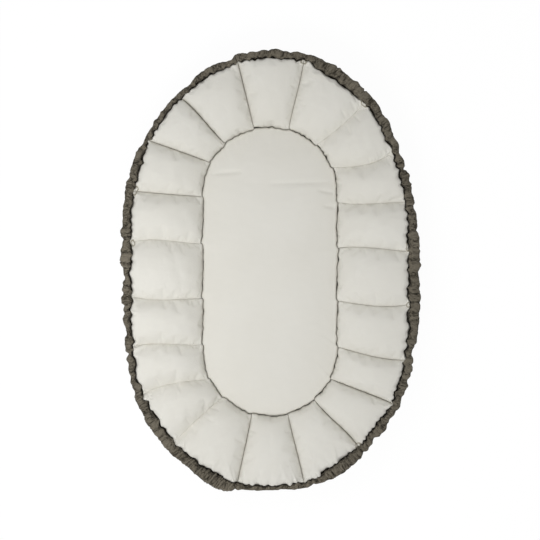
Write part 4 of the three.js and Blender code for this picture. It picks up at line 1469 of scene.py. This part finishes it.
def flat_panel(name, outline, low, high, edge, node, held):
    """A flat panel: rings from its middle out over the top, round its edge and back underneath,
    with slow waves on top."""
    shares = np.linspace(0.001, 1, 22)
    centre = outline.mean(0)
    top = centre + (outline - centre) * shares[:, None, None]
    edge_ring = centre + (outline - centre) * (1 + edge)
    waves = PANEL_RELIEF * random_waves(top[..., 0], top[..., 1], 0.07, 20, 55)
    waves = waves.clip(-1.5 * PANEL_RELIEF, 1.5 * PANEL_RELIEF)
    over = raised(top, high - PANEL_RELIEF * 1.5 + waves)
    points = np.concatenate([over, raised(edge_ring[None], (low + high) / 2), raised(top[::-1], low)])
    skin = Skin()
    skin.grid(points, plan_uv(points), closed_columns=True)
    rows, count = points.shape[:2]
    skin.cap(np.arange(count))
    skin.cap(((rows - 1) * count + np.arange(count))[::-1])
    piece = add_piece(skin.mesh(name), OLIVE, "nest", "olive_cotton", node)


base_places = np.linspace(0, SEAMS, BASE_STEPS, endpoint=False)
base_outline = wall_points(base_places, np.full(BASE_STEPS, BASE_SHARE), 0.0)[:, :2]
flat_panel("base", base_outline, 0.0, BASE_TOP, 0.0006, "base_panel", "stretched")
lining_shares = np.arange(LINING_STEPS) / LINING_STEPS
lining_outline = round_ended(lining_shares, BED_RADIUS - BED_CLEARANCE, BED_STRAIGHT_HALF)
lining_outline = lining_outline + MATTRESS_CENTRE[:2]
lining_heights = LINING_LOW[2], LINING_HIGH[2]
flat_panel("nest_floor", lining_outline, *lining_heights, 0.0, "floor_lining", "laid")


# The zip's slider keeps its own solid, with its edges rounded

slider = frame["nodes"]["zip_slider"]
slider.data.materials.clear()
slider.data.materials.append(ZIP)
bevel = slider.modifiers.new("rounded edges", "BEVEL")
bevel.width = 0.0005
bevel.segments = 3


# Floor, light and camera

FLOOR_HALF = 12.0
FLOOR_LEVEL = -0.0002
FLOOR_WHITE = 1.02
CAMERA_LENS = 100.0
FRAME_WIDTH = 1.0995
SENSOR_WIDTH = 36.0


def seen_straight(tree):
    """1 for rays from the camera, or by way of metal and glass."""
    seen = tree.nodes.new("ShaderNodeLightPath").outputs
    mirrored = math_node(tree, "MAXIMUM", seen["Is Glossy Ray"], seen["Is Transmission Ray"])
    return math_node(tree, "MAXIMUM", seen["Is Camera Ray"], mirrored)


def shader_mix(tree, share, first, second):
    mix = tree.nodes.new("ShaderNodeMixShader")
    for socket, value in zip(mix.inputs, (share, first, second)):
        tree.links.new(value, socket)
    return mix.outputs["Shader"]


def floor():
    """A plain white floor. The camera sees it mostly as its own white, with a little of the light
    that falls on it, so that the object's soft shadow stays. From below it is clear."""
    material, tree, shader = new_material(
        "white floor", Base_Color=(0.94, 0.94, 0.94, 1), Roughness=1
    )
    glow = tree.nodes.new("ShaderNodeEmission")
    glow.inputs["Strength"].default_value = FLOOR_WHITE
    share = math_node(tree, "MULTIPLY", seen_straight(tree), 0.94)
    white = shader_mix(tree, share, shader.outputs["BSDF"], glow.outputs["Emission"])
    below = tree.nodes.new("ShaderNodeNewGeometry").outputs["Backfacing"]
    clear = tree.nodes.new("ShaderNodeBsdfTransparent").outputs["BSDF"]
    surface = tree.nodes["Material Output"].inputs["Surface"]
    tree.links.new(shader_mix(tree, below, white, clear), surface)
    mesh = bpy.data.meshes.new("floor")
    signs = ((-1, -1), (1, -1), (1, 1), (-1, 1))
    corners = [(x * FLOOR_HALF, y * FLOOR_HALF, FLOOR_LEVEL) for x, y in signs]
    mesh.from_pydata(corners, [], [(0, 1, 2, 3)])
    mesh.materials.append(material)
    plane = bpy.data.objects.new("floor", mesh)
    bpy.context.scene.collection.objects.link(plane)


def world(ambient):
    """White all round: full white to the camera, dimmer as light."""
    made = bpy.data.worlds.new("studio")
    made.use_nodes = True
    tree = made.node_tree
    sky = tree.nodes["Background"]
    sky.inputs["Color"].default_value = (1, 1, 1, 1)
    strength = math_node(tree, "MULTIPLY_ADD", seen_straight(tree), 1 - ambient, ambient)
    tree.links.new(strength, sky.inputs["Strength"])
    bpy.context.scene.world = made


def area_light(name, place, aim, size, power):
    """A round lamp at a place, which points at another."""
    lamp = bpy.data.lights.new(name, "AREA")
    lamp.shape = "DISK"
    lamp.size = size
    lamp.energy = power
    item = bpy.data.objects.new(name, lamp)
    item.location = place
    item.rotation_mode = "QUATERNION"
    item.rotation_quaternion = (Vector(aim) - Vector(place)).to_track_quat("-Z", "Y")
    bpy.context.scene.collection.objects.link(item)


def camera():
    """Straight above the lounger, so far off that the frame is its width at the rim's height."""
    lens = bpy.data.cameras.new("camera")
    lens.lens = CAMERA_LENS
    lens.sensor_width = SENSOR_WIDTH
    lens.clip_end = 50
    item = bpy.data.objects.new("camera", lens)
    distance = CAMERA_LENS * FRAME_WIDTH / SENSOR_WIDTH
    item.location = (0, 0, CASING_HIGH[2] - CASING_HEIGHT / 2 + distance)
    bpy.context.scene.collection.objects.link(item)
    bpy.context.scene.camera = item


floor()
world(0.45)
area_light("key", (-0.33, -0.15, 0.75), (-0.33, -0.15, 0), 0.6, 1.95)
area_light("foot", (-0.7, -2.0, 3.2), (0, 0, 0), 1.2, 33)
area_light("head", (0.0, 0.38, 1.0), (0.0, 0.38, 0), 0.8, 1.0)
camera()
bpy.context.scene.view_settings.view_transform = "Standard"
